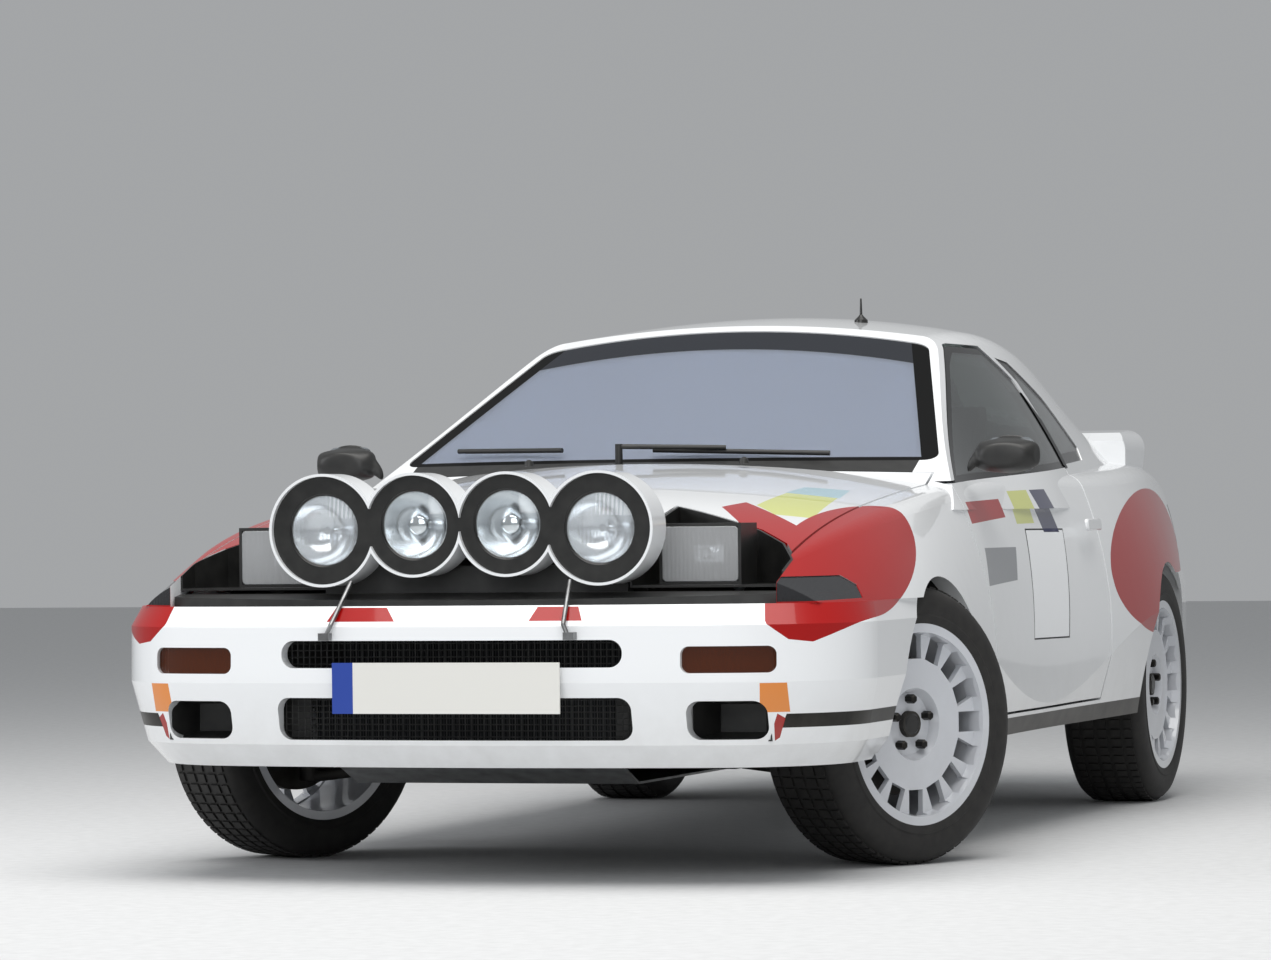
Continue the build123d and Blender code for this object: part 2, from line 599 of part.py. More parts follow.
def body_panels():
    """Cuts the hollow body into its panels and glass."""
    outer = (lower_body(0) + cabin(0)) & ends(0)
    inner = (lower_body(BODY_WALL) + cabin(CABIN_WALL)) & ends(BODY_WALL)
    wells = arches()
    shell = outer - inner - wells
    gap = SHUT_GAP / 2
    everywhere = (-2 * WAY_OUT, 3 * WAY_OUT)
    left = half_space(1)

    # Glass, from two nested cabins
    glass = cabin(GLASS_INSET) - cabin(GLASS_INSET + GLASS_WALL)
    save("windscreen", largest(glass & screen_prism(0)))
    pillars = screen_cutter(PILLAR_DEPTH)
    door_glass = largest((glass & side_cut(door_glass_outline()) & left) - pillars)
    save("door_glass_left", door_glass)
    save("door_glass_right", mirrored(door_glass))
    save("quarter_glass", largest(glass & side_cut(QUARTER_GLASS), 2))
    save("hatch_glass", largest(glass & hatch_window(0)))
    door_hole = side_cut(door_glass_outline(), GLASS_GAP) - screen_cutter(PILLAR_DEPTH - GLASS_GAP)
    shell = shell - screen_prism(0) - door_hole - side_cut(QUARTER_GLASS)

    # Floor
    floor_top = LOWER_BOTTOM_Z + BODY_WALL
    floor = slab((-FLOOR_HALF, FLOOR_HALF), everywhere, (FLOOR_Z, floor_top))
    front_room = slab((-FLOOR_HALF, FLOOR_HALF), (FIREWALL_Y, REAR_BUMPER_BACK_Y - SHUT_GAP), everywhere)
    rear_room = slab((-FLOOR_REAR_HALF, FLOOR_REAR_HALF), (FIREWALL_Y, FLOOR_REAR_Y), everywhere)
    pan = largest(shell & floor & (front_room + rear_room))
    for y in JACK_PAD_YS:
        pad = slab((JACK_PAD_X - JACK_PAD_WIDTH / 2, JACK_PAD_X + JACK_PAD_WIDTH / 2),
                   (y - JACK_PAD_LENGTH / 2, y + JACK_PAD_LENGTH / 2),
                   (FLOOR_Z - JACK_PAD_DEPTH, (FLOOR_Z + floor_top) / 2))
        pan = pan + pad + mirrored(pad)
    save("floor_pan", pan)
    shell = shell - slab((-FLOOR_HALF, FLOOR_HALF), everywhere, (0, floor_top))

    # Front end
    shell = shell - slab((-WAY_OUT, WAY_OUT), (-3 * WAY_OUT, FRONT_BUMPER_BACK_Y), (0, BUMPER_TOP_Z))
    shell = shell - slab((-BAY[-1][0], BAY[-1][0]), (-3 * WAY_OUT, HOOD_FRONT_Y), (0, WAY_OUT))
    save("hood", largest((shell & hood_prism(gap)) - bay_prism(SHUT_GAP, 0)))
    tub = (outer & bay_prism(0, BAY_FLOOR_Z - BAY_WALL)) - bay_prism(-BAY_WALL, BAY_FLOOR_Z)
    tub = tub - slab(everywhere, (-3 * WAY_OUT, BAY_FRONT_Y), everywhere)
    save("headlamp_bays", largest(tub, 2))
    shell = shell - hood_prism(-gap) - bay_prism(0, 0)

    # Liftback and doors
    shell = shell - slab((-WAY_OUT, WAY_OUT), (REAR_BUMPER_BACK_Y, 3 * WAY_OUT), (0, REAR_BUMPER_TOP_Z))
    save("hatch", largest((shell & hatch_prism(gap)) - hatch_window(0)))
    shell = shell - hatch_prism(-gap)
    door = (outer & side_cut(door_outline(0))) - lower_body(DOOR_WALL)
    door = largest(door - slab((-WAY_OUT, DOOR_INNER_X), everywhere, everywhere))
    save("door_left", door)
    save("door_right", mirrored(door))
    shell = shell - side_cut(door_outline(SHUT_GAP))

    # Roof, tail, cowl and fenders; what is left is the two sides
    roof_cut = slab((-ROOF_HALF, ROOF_HALF), (ROOF_FRONT_Y, ROOF_REAR_Y), (WAY_OUT - 200, 2 * WAY_OUT))
    save("roof_panel", largest(shell & roof_cut))
    shell = shell - roof_cut
    tail_cut = slab((-TAIL_HALF, TAIL_HALF), (TAIL_SPLIT_Y, 3 * WAY_OUT), (0, HATCH_BOTTOM_Z + SHUT_GAP))
    save("tail_panel", largest((shell & tail_cut) - tail_lamp_prism(0)))
    lamps = outer - ends(TAIL_LAMP_WALL) - slab(everywhere, (-3 * WAY_OUT, TAIL_SPLIT_Y), everywhere)
    save("tail_lamps", largest(lamps & tail_lamp_prism(0), 2))
    shell = shell - tail_cut
    cowl_cut = slab((-COWL_HALF, COWL_HALF), (-WAY_OUT, COWL_REAR_Y), (CABIN_BASE_Z, 2 * WAY_OUT))
    save("cowl_panel", largest(shell & cowl_cut))
    shell = shell - cowl_cut
    fender_cut = slab((FENDER_INNER_X, WAY_OUT), (-3 * WAY_OUT, DOOR_FRONT_Y - SHUT_GAP), (0, WAY_OUT))
    fender = largest((shell & fender_cut) - corner_lamp_block())
    save("front_fender_left", fender)
    save("front_fender_right", mirrored(fender))
    shell = shell - slab(everywhere, (-3 * WAY_OUT, DOOR_FRONT_Y - SHUT_GAP), everywhere)
    side = largest(shell & left)
    save("body_side_left", side)
    save("body_side_right", mirrored(side))
    bulkhead = slab((-WAY_OUT, WAY_OUT), (FIREWALL_Y, FIREWALL_Y + FIREWALL_WALL), (0, FIREWALL_TOP_Z))
    save("firewall", largest((inner & bulkhead) - wells))
    return outer, inner


def slot_box(x, z, radius):
    """A rounded opening through the front bumper."""
    return rounded(x, (NOSE_Y - 100, NOSE_Y + 420), z, radius, Axis.Y)


def front_bumper():
    """Skin with two intakes, two lamp recesses and two brake duct holes."""
    skin = bumper(FRONT_BUMPER_ROWS, FRONT_BUMPER_BACK_Y)
    for half, low, high in (UPPER_INTAKE, LOWER_INTAKE):
        skin -= slot_box((-half, half), (low, high), INTAKE_CORNER_R)
    for (low_x, high_x, low, high), radius in ((AMBER_RECESS, AMBER_CORNER_R), (DUCT_HOLE, INTAKE_CORNER_R)):
        skin -= both_sides(slot_box((low_x, high_x), (low, high), radius))
    save("front_bumper", largest(skin - arches()))


def bumper_core(inset):
    """The front bumper's outside, taken in and filled."""
    rows = [(z, w - inset, tip + inset, bow, r - inset) for z, w, tip, bow, r in FRONT_BUMPER_ROWS]
    return loft([plan_face(*row, FRONT_BUMPER_BACK_Y) for row in rows], ruled=True)


def bumper_lamps():
    """Amber lenses, set back in their recesses."""
    low_x, high_x, low, high = AMBER_RECESS
    opening = slot_box((low_x, high_x), (low, high), AMBER_CORNER_R)
    lens = bumper_core(AMBER_INSET) - bumper_core(AMBER_INSET + AMBER_WALL)
    save("bumper_lamps", largest(lens & both_sides(opening), 2))


def rear_bumper():
    skin = bumper(REAR_BUMPER_ROWS, REAR_BUMPER_BACK_Y, REAR_BUMPER_SPLAY)
    save("rear_bumper", largest(skin - arches()))


def nose_panel():
    """Black panel between bumper and hood, standing behind the pod."""
    low, mid_y, back = BUMPER_TOP_Z, -1998.0, HOOD_FRONT_Y - SHUT_GAP
    foot = [(-2118, low), (-2118, low + 10), (mid_y - 8, low + 26)]
    half = BAY[0][0] - 2
    panel = prism("x", foot + [(mid_y, 690), (back, 690), (back, low)], -half, half)
    side = prism("x", foot + [(mid_y - 8, low)], half, BAY[-1][0] - 4)
    save("nose_panel", (panel + both_sides(side)) & ends(20))


def number_plate():
    """A blank plate on two short brackets."""
    back = NOSE_Y + PLATE_WALL
    plate = slab((-PLATE_HALF, PLATE_HALF), (NOSE_Y, back), (PLATE_LOW_Z, PLATE_HIGH_Z))
    bracket = slab((150, 170), (back, back + 16), (PLATE_LOW_Z + 36, PLATE_HIGH_Z - 14))
    save("number_plate", plate + (both_sides(bracket) - bumper(FRONT_BUMPER_ROWS, FRONT_BUMPER_BACK_Y)))


def radiator():
    """Intercooler low down, radiator behind it, seen through the intakes."""
    core = slab((-330, 330), (-1955, -1900), (RADIATOR_LOW_Z, 585))
    cooler = slab((-360, 360), (-2040, -1955), (RADIATOR_LOW_Z, 420))
    save("radiator", core + cooler)


def headlamps():
    """Rectangular headlamps standing on the floor of the bays."""
    x0, x1 = HEADLAMP_X - HEADLAMP_HALF_WIDTH, HEADLAMP_X + HEADLAMP_HALF_WIDTH
    back = HEADLAMP_FRONT_Y + HEADLAMP_DEPTH
    lamp = rounded((x0, x1), (HEADLAMP_FRONT_Y, back), (HEADLAMP_LOW_Z, HEADLAMP_HIGH_Z), 16, Axis.Y)
    save("headlamps", both_sides(lamp))


def lamp_pod():
    """Four joined white tubes that stand on the hood's front edge."""
    tubes, room, face = [], [], []
    length = POD_REAR_Y - POD_FRONT_Y
    for x, z, radius, _ in POD_LAMPS:
        inner_r = radius - POD_SHELL_WALL
        tubes.append(disc(x, POD_FRONT_Y, z, radius, length, (0, 1, 0)))
        room.append(disc(x, POD_FRONT_Y - 10, z, inner_r, length, (0, 1, 0)))
        face.append(disc(x, POD_FRONT_Y + POD_FACE_INSET, z, inner_r, POD_FACE_WALL, (0, 1, 0)))
    shell, room, face = joined(tubes), joined(room), joined(face)
    saddle = [(POD_REAR_Y, 700), (SADDLE_REAR_Y, 700), (SADDLE_REAR_Y, 740), (POD_REAR_Y, 816)]
    foot = prism("x", saddle, -SADDLE_HALF, SADDLE_HALF) - lower_body(0)
    save("lamp_pod", largest(shell - room + foot))
    lamps = []
    for x, z, _, lens_r in POD_LAMPS:
        face -= disc(x, POD_FRONT_Y, z, lens_r, 2 * POD_FACE_WALL, (0, 1, 0))
        lamps.append(disc(x, POD_FRONT_Y + POD_FACE_INSET + 6, z, lens_r, LENS_WALL, (0, 1, 0)))
    save("pod_face", face)
    save("driving_lamps", joined(lamps))


def pod_stays():
    """Two thin stays in front of the bumper, up to the pod."""
    knee = Vector((STAY_FOOT_X + STAY_TOP_X) / 2, STAY_KNEE_Y, STAY_KNEE_Z)
    stay = rod((STAY_FOOT_X, STAY_FOOT_Y, STAY_FOOT_Z), knee, STAY_R) + Pos(knee) * Sphere(STAY_R)
    stay += rod(knee, (STAY_TOP_X, STAY_TOP_Y, stay_top()), STAY_R)
    pad = slab(
        (STAY_FOOT_X - STAY_PAD_HALF, STAY_FOOT_X + STAY_PAD_HALF),
        (STAY_FOOT_Y - STAY_R, STAY_FOOT_Y + 40),
        (STAY_FOOT_Z - 2, STAY_FOOT_Z + 14),
    )
    save("pod_stays", both_sides(largest((stay + pad) - bumper(FRONT_BUMPER_ROWS, FRONT_BUMPER_BACK_Y))))


def stay_top():
    """Just under the outer lamp's round shell."""
    x, z, radius, _ = POD_LAMPS[3]
    return z - sqrt(radius**2 - (x - STAY_TOP_X - STAY_R) ** 2) - STAY_GAP


def rear_wing(outer):
    """A raised blade whose rounded ends turn down to the liftback."""
    inner = WING_HALF - WING_LEG_WALL
    blade = prism("x", [(1790, 988), (1850, 1012), (2080, 1022), (2085, 1008), (1860, 984)], -inner, inner)
    side = [(1800, 880), (1800, 990), (1850, 1012), (2080, 1022), (2070, 1000), (2010, 880)]
    leg = prism("x", side, inner, WING_HALF)
    envelope = rounded((-WING_HALF, WING_HALF), (1700, 2200), (700, WING_TOP_Z), WING_END_R, Axis.Y)
    save("rear_wing", largest((blade + both_sides(leg)) & envelope - outer))


def wheel_profile():
    """Half section of the rim in (u, r): u is outward from the wheel's middle."""
    w, b, f, t = RIM_HALF_WIDTH, BEAD_R, FLANGE_R, BARREL_WALL
    return [
        (-w, f), (-w + t, f), (-w + t, b), (w - t, b), (w - t, f), (w, f), (w, b - t),
        (DISC_FACE_U, b - t - 6), (DISC_FACE_U, BOWL_R + 12), (DISC_FACE_U - 22, BOWL_R),
        (DISC_FACE_U - 22, HUB_BORE_R), (MOUNT_FACE_U, HUB_BORE_R), (MOUNT_FACE_U, HUB_R + 6),
        (DISC_FACE_U - DISC_WALL, BOWL_R + 34), (DISC_FACE_U - DISC_WALL, b - t - 10),
        (DISC_FACE_U - DISC_WALL - 8, b - t), (-w, b - t),
    ]


def tyre_profile():
    """Half section of the tyre in (u, r)."""
    w, t = TYRE_HALF_WIDTH, TREAD_HALF_WIDTH
    inner = BEAD_R + REST_GAP
    side = RIM_HALF_WIDTH - BARREL_WALL - REST_GAP
    return [
        (-side, inner), (-side, FLANGE_R + 4), (-w, (TYRE_R + BEAD_R) / 2), (-t - 8, TYRE_R - 16),
        (-t + 6, TYRE_R - 3), (0, TYRE_R), (t - 6, TYRE_R - 3), (t + 8, TYRE_R - 16),
        (w, (TYRE_R + BEAD_R) / 2), (side, FLANGE_R + 4), (side, inner),
        (side - 16, inner), (w - 16, (TYRE_R + BEAD_R) / 2), (t - 12, TYRE_R - 16),
        (-t + 12, TYRE_R - 16), (-w + 16, (TYRE_R + BEAD_R) / 2), (-side + 16, inner),
    ]


def turned(profile):
    """A ring about the X axis from a half section in (u, r)."""
    face = Face(Wire.make_polygon([Vector(u, 0, r) for u, r in profile], close=True))
    return revolve(face, Axis.X, 360)


def wheel_and_tyre():
    """Rim and tyre about the X axis, with the outside towards +X."""
    rim = turned(wheel_profile())
    across = (-SLOT_WIDTH / 2, SLOT_WIDTH / 2)
    slot = slab((MOUNT_FACE_U, RIM_HALF_WIDTH + 10), across, (SLOT_LOW_R, SLOT_HIGH_R))
    for i in range(SLOT_COUNT):
        rim -= slot.rotate(Axis.X, i * 360 / SLOT_COUNT)
    for i in range(BOLT_COUNT):
        hole = disc(0, 0, BOLT_CIRCLE_R, BOLT_HOLE_R, RIM_HALF_WIDTH + 10, (1, 0, 0))
        rim -= hole.rotate(Axis.X, i * 360 / BOLT_COUNT)
    return rim, turned(tyre_profile())


def placed(shape, x, y, steer):
    """Moves a shape made about the hub's middle to its axle, turned about the kingpin."""
    moved = shape.moved(Location((x, y, TYRE_R)))
    if steer:
        moved = moved.rotate(Axis((KINGPIN_X if x > 0 else -KINGPIN_X, y, 0), (0, 0, 1)), steer)
    return moved


def hub_parts(inner_u):
    """Hub barrel, mounting flange, spigot and brake disc, about the hub's middle."""
    hub = disc(inner_u, 0, 0, HUB_BARREL_R, MOUNT_FACE_U - 10 - inner_u, (1, 0, 0))
    hub += disc(MOUNT_FACE_U - 12, 0, 0, HUB_R, 12 - REST_GAP, (1, 0, 0))
    hub += disc(MOUNT_FACE_U - 1, 0, 0, SPIGOT_R, 30, (1, 0, 0))
    return hub + disc(BRAKE_DISC_U - BRAKE_DISC_WALL / 2, 0, 0, BRAKE_DISC_R, BRAKE_DISC_WALL, (1, 0, 0))


def knuckle():
    """Hub, brake, caliper and kingpin of the left front wheel, about the hub's middle."""
    pin_u = KINGPIN_X - FRONT_WHEEL_X
    low, high = KINGPIN_LOW_Z - TYRE_R, KINGPIN_TOP_Z - TYRE_R
    pin = disc(pin_u, 0, low, KINGPIN_R, high - low, (0, 0, 1))
    caliper = disc(BRAKE_DISC_U - 34, 0, 0, BRAKE_DISC_R + 18, 70, (1, 0, 0))
    return hub_parts(pin_u) + pin + (caliper & slab((-80, 80), (70, 200), (-90, 90)))


def running_gear():
    """Wheels, tyres, hubs and suspension."""
    rim, tyre = wheel_and_tyre()
    for name, x, y, steer in (
        ("front_left", FRONT_WHEEL_X, FRONT_AXLE_Y, REST_STEER),
        ("front_right", -FRONT_WHEEL_X, FRONT_AXLE_Y, REST_STEER),
        ("rear_left", REAR_WHEEL_X, REAR_AXLE_Y, 0),
        ("rear_right", -REAR_WHEEL_X, REAR_AXLE_Y, 0),
    ):
        for kind, shape in (("wheel", rim), ("tyre", tyre)):
            shape = shape if x > 0 else mirrored(shape)
            save(f"{kind}_{name}", placed(shape, x, y, steer))
    save("front_knuckle_left", placed(knuckle(), FRONT_WHEEL_X, FRONT_AXLE_Y, REST_STEER))
    save("front_knuckle_right", placed(mirrored(knuckle()), -FRONT_WHEEL_X, FRONT_AXLE_Y, REST_STEER))

    y = FRONT_AXLE_Y
    arm_z = KINGPIN_LOW_Z - 20
    arm = rod((380, y, 226), (KINGPIN_X, y, arm_z), ARM_R)
    arm += disc(KINGPIN_X, y, arm_z - ARM_R + 6, 22, 20 + ARM_R - 6 - REST_GAP, (0, 0, 1))
    strut = strut_bar(*front_strut())
    strut += disc(STRUT_TOP_X, y, STRUT_TOP_Z - 20, STRUT_R, TOWER_Z - STRUT_TOP_Z + 20, (0, 0, 1))
    end_x, along = RAIL_X - RAIL_HALF_WIDTH + 10, (y - 60, y + 60)
    bar = slab((-end_x, end_x), along, (MEMBER_LOW_Z, MEMBER_HIGH_Z))
    side = slab((end_x - 35, end_x), along, (MEMBER_LOW_Z, RAIL_LOW_Z))
    save("front_suspension", both_sides(arm + strut + side) + bar)

    y = REAR_AXLE_Y
    inner_x = REAR_WHEEL_X - 80
    hub = placed(hub_parts(-90), REAR_WHEEL_X, y, 0)
    foot, top = rear_strut()
    links = rod((inner_x, y - 30, 285), (305, y - 60, 199), LINK_R)
    links += rod((inner_x, y + 30, 285), (305, y + 60, 199), LINK_R)
    links += rod((inner_x, y, TYRE_R), foot, 30) + strut_bar(foot, top)
    bracket = slab((285, 325), (y - 80, y + 80), (REAR_MEMBER_LOW_Z, FLOOR_Z))
    bar = slab((-325, 325), (y - 80, y + 80), (MEMBER_LOW_Z, FLOOR_Z))
    save("rear_suspension", both_sides(hub + links + bracket) + bar)


def strut_bar(foot, top):
    """A strut with its spring's cover round the upper end."""
    middle = tuple(a + SPRING_START * (b - a) for a, b in zip(foot, top))
    return rod(foot, top, STRUT_R) + rod(middle, top, SPRING_R)


def front_strut():
    """Foot and top of the left front strut."""
    return (STRUT_FOOT_X, FRONT_AXLE_Y, STRUT_FOOT_Z), (STRUT_TOP_X, FRONT_AXLE_Y, STRUT_TOP_Z)


def rear_strut():
    """Foot and top of the left rear strut."""
    return (REAR_WHEEL_X - 128, REAR_AXLE_Y, 330), (REAR_STRUT_TOP_X, REAR_AXLE_Y, REAR_STRUT_TOP_Z)


def liners(inner):
    """Plastic liners round the tops of the wheel wells, holed for the struts."""
    rings = []
    for axle_y in (FRONT_AXLE_Y, REAR_AXLE_Y):
        room = wheel_well(axle_y, LINER_R - LINER_WALL, WELL_X + LINER_WALL, SKIN_X)
        rings.append(wheel_well(axle_y, LINER_R, WELL_X, SKIN_X - REST_GAP) - room)
    shape = joined(rings) & inner
    for foot, top in (front_strut(), rear_strut()):
        shape -= both_sides(rod(foot, top, SPRING_R + 10))
    low = slab((-WAY_OUT, WAY_OUT), (-3 * WAY_OUT, 3 * WAY_OUT), (-WAY_OUT, LINER_LOW_Z))
    save("wheel_arch_liners", largest(shape - low, 4))


def chassis():
    """Front rails and strut towers, engine block, sump guard and exhaust."""
    low_x, high_x = RAIL_X - RAIL_HALF_WIDTH, RAIL_X + RAIL_HALF_WIDTH
    rails = both_sides(slab((low_x, high_x), (RAIL_FRONT_Y, FIREWALL_Y), (RAIL_LOW_Z, RAIL_HIGH_Z)))
    rails += slab((-high_x, high_x), (RAIL_FRONT_Y, -1900), (RAIL_LOW_Z, RADIATOR_LOW_Z))
    along = (FRONT_AXLE_Y - 70, FRONT_AXLE_Y + 70)
    post = slab((RAIL_X, WELL_X - SHUT_GAP), along, (RAIL_HIGH_Z, TOWER_Z + TOWER_WALL))
    top = slab((RAIL_X, STRUT_TOP_X + 72), along, (TOWER_Z, TOWER_Z + TOWER_WALL))
    save("front_rails", rails + both_sides(post + top))
    across, along = (-ENGINE_HALF, ENGINE_HALF), (ENGINE_FRONT_Y, ENGINE_REAR_Y)
    save("engine_block", slab(across, along, (ENGINE_LOW_Z, ENGINE_HIGH_Z)))
    low, high = GUARD_Z, GUARD_Z + GUARD_WALL
    bend, front, back = GUARD_FRONT_Y + 140, GUARD_FRONT_Y, GUARD_REAR_Y
    guard = [(front, low + 54), (bend, low), (back, low)]
    guard += [(back, high), (bend + 2, high), (front + 2, high + 54)]
    save("sump_guard", prism("x", guard, -ENGINE_HALF, ENGINE_HALF))
    x, z, pipe_r = EXHAUST_X, EXHAUST_Z, EXHAUST_R
    pipe = rod((x, -850, z), (x, 1750, z), pipe_r) + rod((x, -850, z), (x, -884, 300), pipe_r)
    tail = rod((TAILPIPE_X, 1850, TAILPIPE_Z), (TAILPIPE_X, TAILPIPE_END_Y, TAILPIPE_Z), TAILPIPE_R)
    bore = rod((TAILPIPE_X, 2040, TAILPIPE_Z), (TAILPIPE_X, 2300, TAILPIPE_Z), TAILPIPE_R - TAILPIPE_WALL)
    muffler = rounded((-430, -150), (1640, 1900), (z - 30, z + 62), 30, Axis.Y)
    hangers = slab((x - 10, x + 10), (0, 30), (z, FLOOR_Z))
    hangers += slab((-300, -280), (1700, 1730), (z, FLOOR_Z))
    save("exhaust", pipe + tail - bore + muffler + hangers)


def seat(x):
    """A bucket seat on two runners: squab, back and side bolsters round a hollow."""
    low, high = x - SEAT_HALF, x + SEAT_HALF
    floor_z = LOWER_BOTTOM_Z + BODY_WALL
    side = [
        (-230, 330), (-250, 470), (-60, 430), (120, 430), (200, 700),
        (235, 1060), (330, 1060), (280, 700), (215, 330),
    ]
    wings = [
        (-230, 440), (-250, 520), (20, 560), (110, 760), (180, 1000), (240, 1000), (200, 700), (150, 430),
    ]
    hollow = [(-300, 445), (60, 415), (130, 640), (190, 1100), (-300, 1100)]
    under = [(-215, 320), (-215, 390), (60, 385), (150, 320)]
    shape = prism("x", side, low, high) + prism("x", wings, low, high)
    shape -= prism("x", hollow, x - SEAT_HOLLOW_HALF, x + SEAT_HOLLOW_HALF)
    shape -= prism("x", under, low + 30, high - 30)
    for runner_x in (low, high - 30):
        shape += slab((runner_x, runner_x + 30), (-200, 180), (floor_z, 330))
    return shape


def interior():
    """Seats, dashboard, steering wheel and roll cage."""
    save("seats", both_sides(seat(SEAT_X)))
    front = FIREWALL_Y + FIREWALL_WALL
    profile = [(front, 600), (front, 780), (-520, 835), (-450, 790), (-450, 640)]
    hole = side_tube(SIDE_TUBE_R + CAGE_CLEAR)
    dash = largest(prism("x", profile, -DASH_HALF, DASH_HALF) - hole - mirrored(hole))
    save("dashboard", dash)
    axis = Vector(0, -0.92, -0.39)
    centre = Vector(*STEERING_CENTRE)
    wheel_plane = Plane(origin=centre, z_dir=-axis)
    rim = wheel_plane * Torus(STEERING_R, STEERING_GRIP_R)
    upright = Pos(0, -STEERING_R / 2, 0) * Box(26, STEERING_R - 10, 6)
    spokes = wheel_plane * (Box(2 * STEERING_R - 10, 26, 6) + upright)
    column = rod(centre, centre + axis * 150, 20)
    save("steering_wheel", largest((rim + spokes + column) - dash))
    save("roll_cage", roll_cage())


def bent_tube(points, radius):
    """A round tube along a path with bent corners."""
    path = FilletPolyline(*points, radius=CAGE_BEND_R)
    start = Plane(origin=points[0], z_dir=Vector(*points[1]) - Vector(*points[0]))
    return sweep(start * Circle(radius), path=path)


def side_tube(radius):
    """The left side hoop, from the floor along the windscreen pillar to the main hoop."""
    x, floor_z = CAGE_HALF, LOWER_BOTTOM_Z + BODY_WALL
    foot = [(x, SCREEN_HOOP_Y, floor_z), (x, SCREEN_HOOP_Y, 780)]
    top = [(CAGE_TOP_HALF, SCREEN_TOP_Y, CAGE_TOP_Z - 6), (SIDE_TUBE_END_X, HOOP_Y, CAGE_TOP_Z)]
    return bent_tube(foot + top, radius)


def roll_cage():
    """Main hoop, two side hoops, rear stays, door bars and cross bars."""
    floor_z = LOWER_BOTTOM_Z + BODY_WALL
    x, top_x, y, z = CAGE_HALF, CAGE_TOP_HALF, HOOP_Y, CAGE_TOP_Z
    screen_top = (top_x, SCREEN_TOP_Y, z - 6)
    hoop = [(-x, y, floor_z), (-x, y, 700), (-top_x, y, z), (top_x, y, z), (x, y, 700), (x, y, floor_z)]
    half = side_tube(SIDE_TUBE_R)
    half += rod((CAGE_STAY_X, y, z), (*STAY_FOOT, floor_z - CAGE_R), BAR_R)
    half += rod((x, SCREEN_HOOP_Y, 430), (x, y, 560), BAR_R)
    cage = joined([bent_tube(hoop, CAGE_R), half, mirrored(half)])
    cage += rod((-x, y, 620), (x, y, 620), BAR_R)
    cage += rod((-top_x, *screen_top[1:]), screen_top, BAR_R)
    return cage - slab((-WAY_OUT, WAY_OUT), (-WAY_OUT, 2 * WAY_OUT), (0, floor_z))


def wipers(outer):
    """Two wiper arms with blades, standing on the cowl in front of the windscreen."""
    slope = screen_plane()

    def on(x, v, lift):
        drop = SCREEN_R - sqrt(SCREEN_R**2 - x**2)
        return slope.from_local_coords(Vector(x, drop - lift, v))

    pieces = []
    for pivot_x, pivot_y, pivot_v, tip_x, tip_v in WIPERS:
        start = on(pivot_x, pivot_v, 2 * WIPER_LIFT)
        post_top = Vector(pivot_x, pivot_y, start.Z)
        middle = on((pivot_x + tip_x) / 2, (pivot_v + tip_v) / 2, WIPER_LIFT + 4)
        piece = rod((pivot_x, pivot_y, CABIN_BASE_Z), post_top + Vector(0, 0, WIPER_R), 1.5 * WIPER_R)
        piece += rod(post_top, middle, WIPER_R)
        piece += rod(on(pivot_x + 70, pivot_v + 10, WIPER_LIFT), on(tip_x, tip_v, WIPER_LIFT), WIPER_R)
        pieces.append(largest(piece - outer))
    save("wipers", joined(pieces))


def mirrors(outer):
    """Door mirrors, each on a foot on the door's shoulder."""
    shell = rounded((MIRROR_LOW_X, MIRROR_HIGH_X), (-640, -560), (MIRROR_LOW_Z, MIRROR_HIGH_Z), 30, Axis.Y)
    foot = slab((735, 800), (-625, -575), (852, 900))
    body = largest((shell + foot) - outer)
    save("mirror_left", body)
    save("mirror_right", mirrored(body))


def corner_lamp_block():
    """The wedge-shaped opening for the left corner lamp."""
    return prism("x", CORNER_LAMP, BAY[-1][0] + REST_GAP, WAY_OUT)


def corner_lamps():
    """Smoked corner lamps at the ends of the black nose."""
    lamp = corner_lamp_block() & ends(CORNER_LAMP_INSET) & lower_body(CORNER_LAMP_INSET)
    inside = ends(BODY_WALL) & lower_body(BODY_WALL)
    save("corner_lamps", both_sides(largest(lamp - inside)))


def mud_flaps():
    flap = slab((640, 830), (FLAP_Y, FLAP_Y + FLAP_WALL), (FLAP_LOW_Z, LOWER_BOTTOM_Z))
    save("mud_flaps", both_sides(flap))


def main():
    outer, inner = body_panels()
    front_bumper()
    bumper_lamps()
    rear_bumper()
    nose_panel()
    number_plate()
    radiator()
    headlamps()
    corner_lamps()
    lamp_pod()
    pod_stays()
    rear_wing(outer)
    running_gear()
    liners(inner)
    chassis()
    interior()
    wipers(outer)
    mirrors(outer)
    mud_flaps()


main()
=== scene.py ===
# %% [markdown]
# # A rally coupe, dressed for its picture
# The car's solids come from the imported frame, and every piece made here sits on them. Lengths are
# in metres, +Z is up, the car faces -Y and its left side is +X. We load the frame first. Nothing
# that we add may make the car bigger.

# %% Load the frame
import bpy
from math import cos, pi, radians, sin
from mathutils import Matrix, Vector


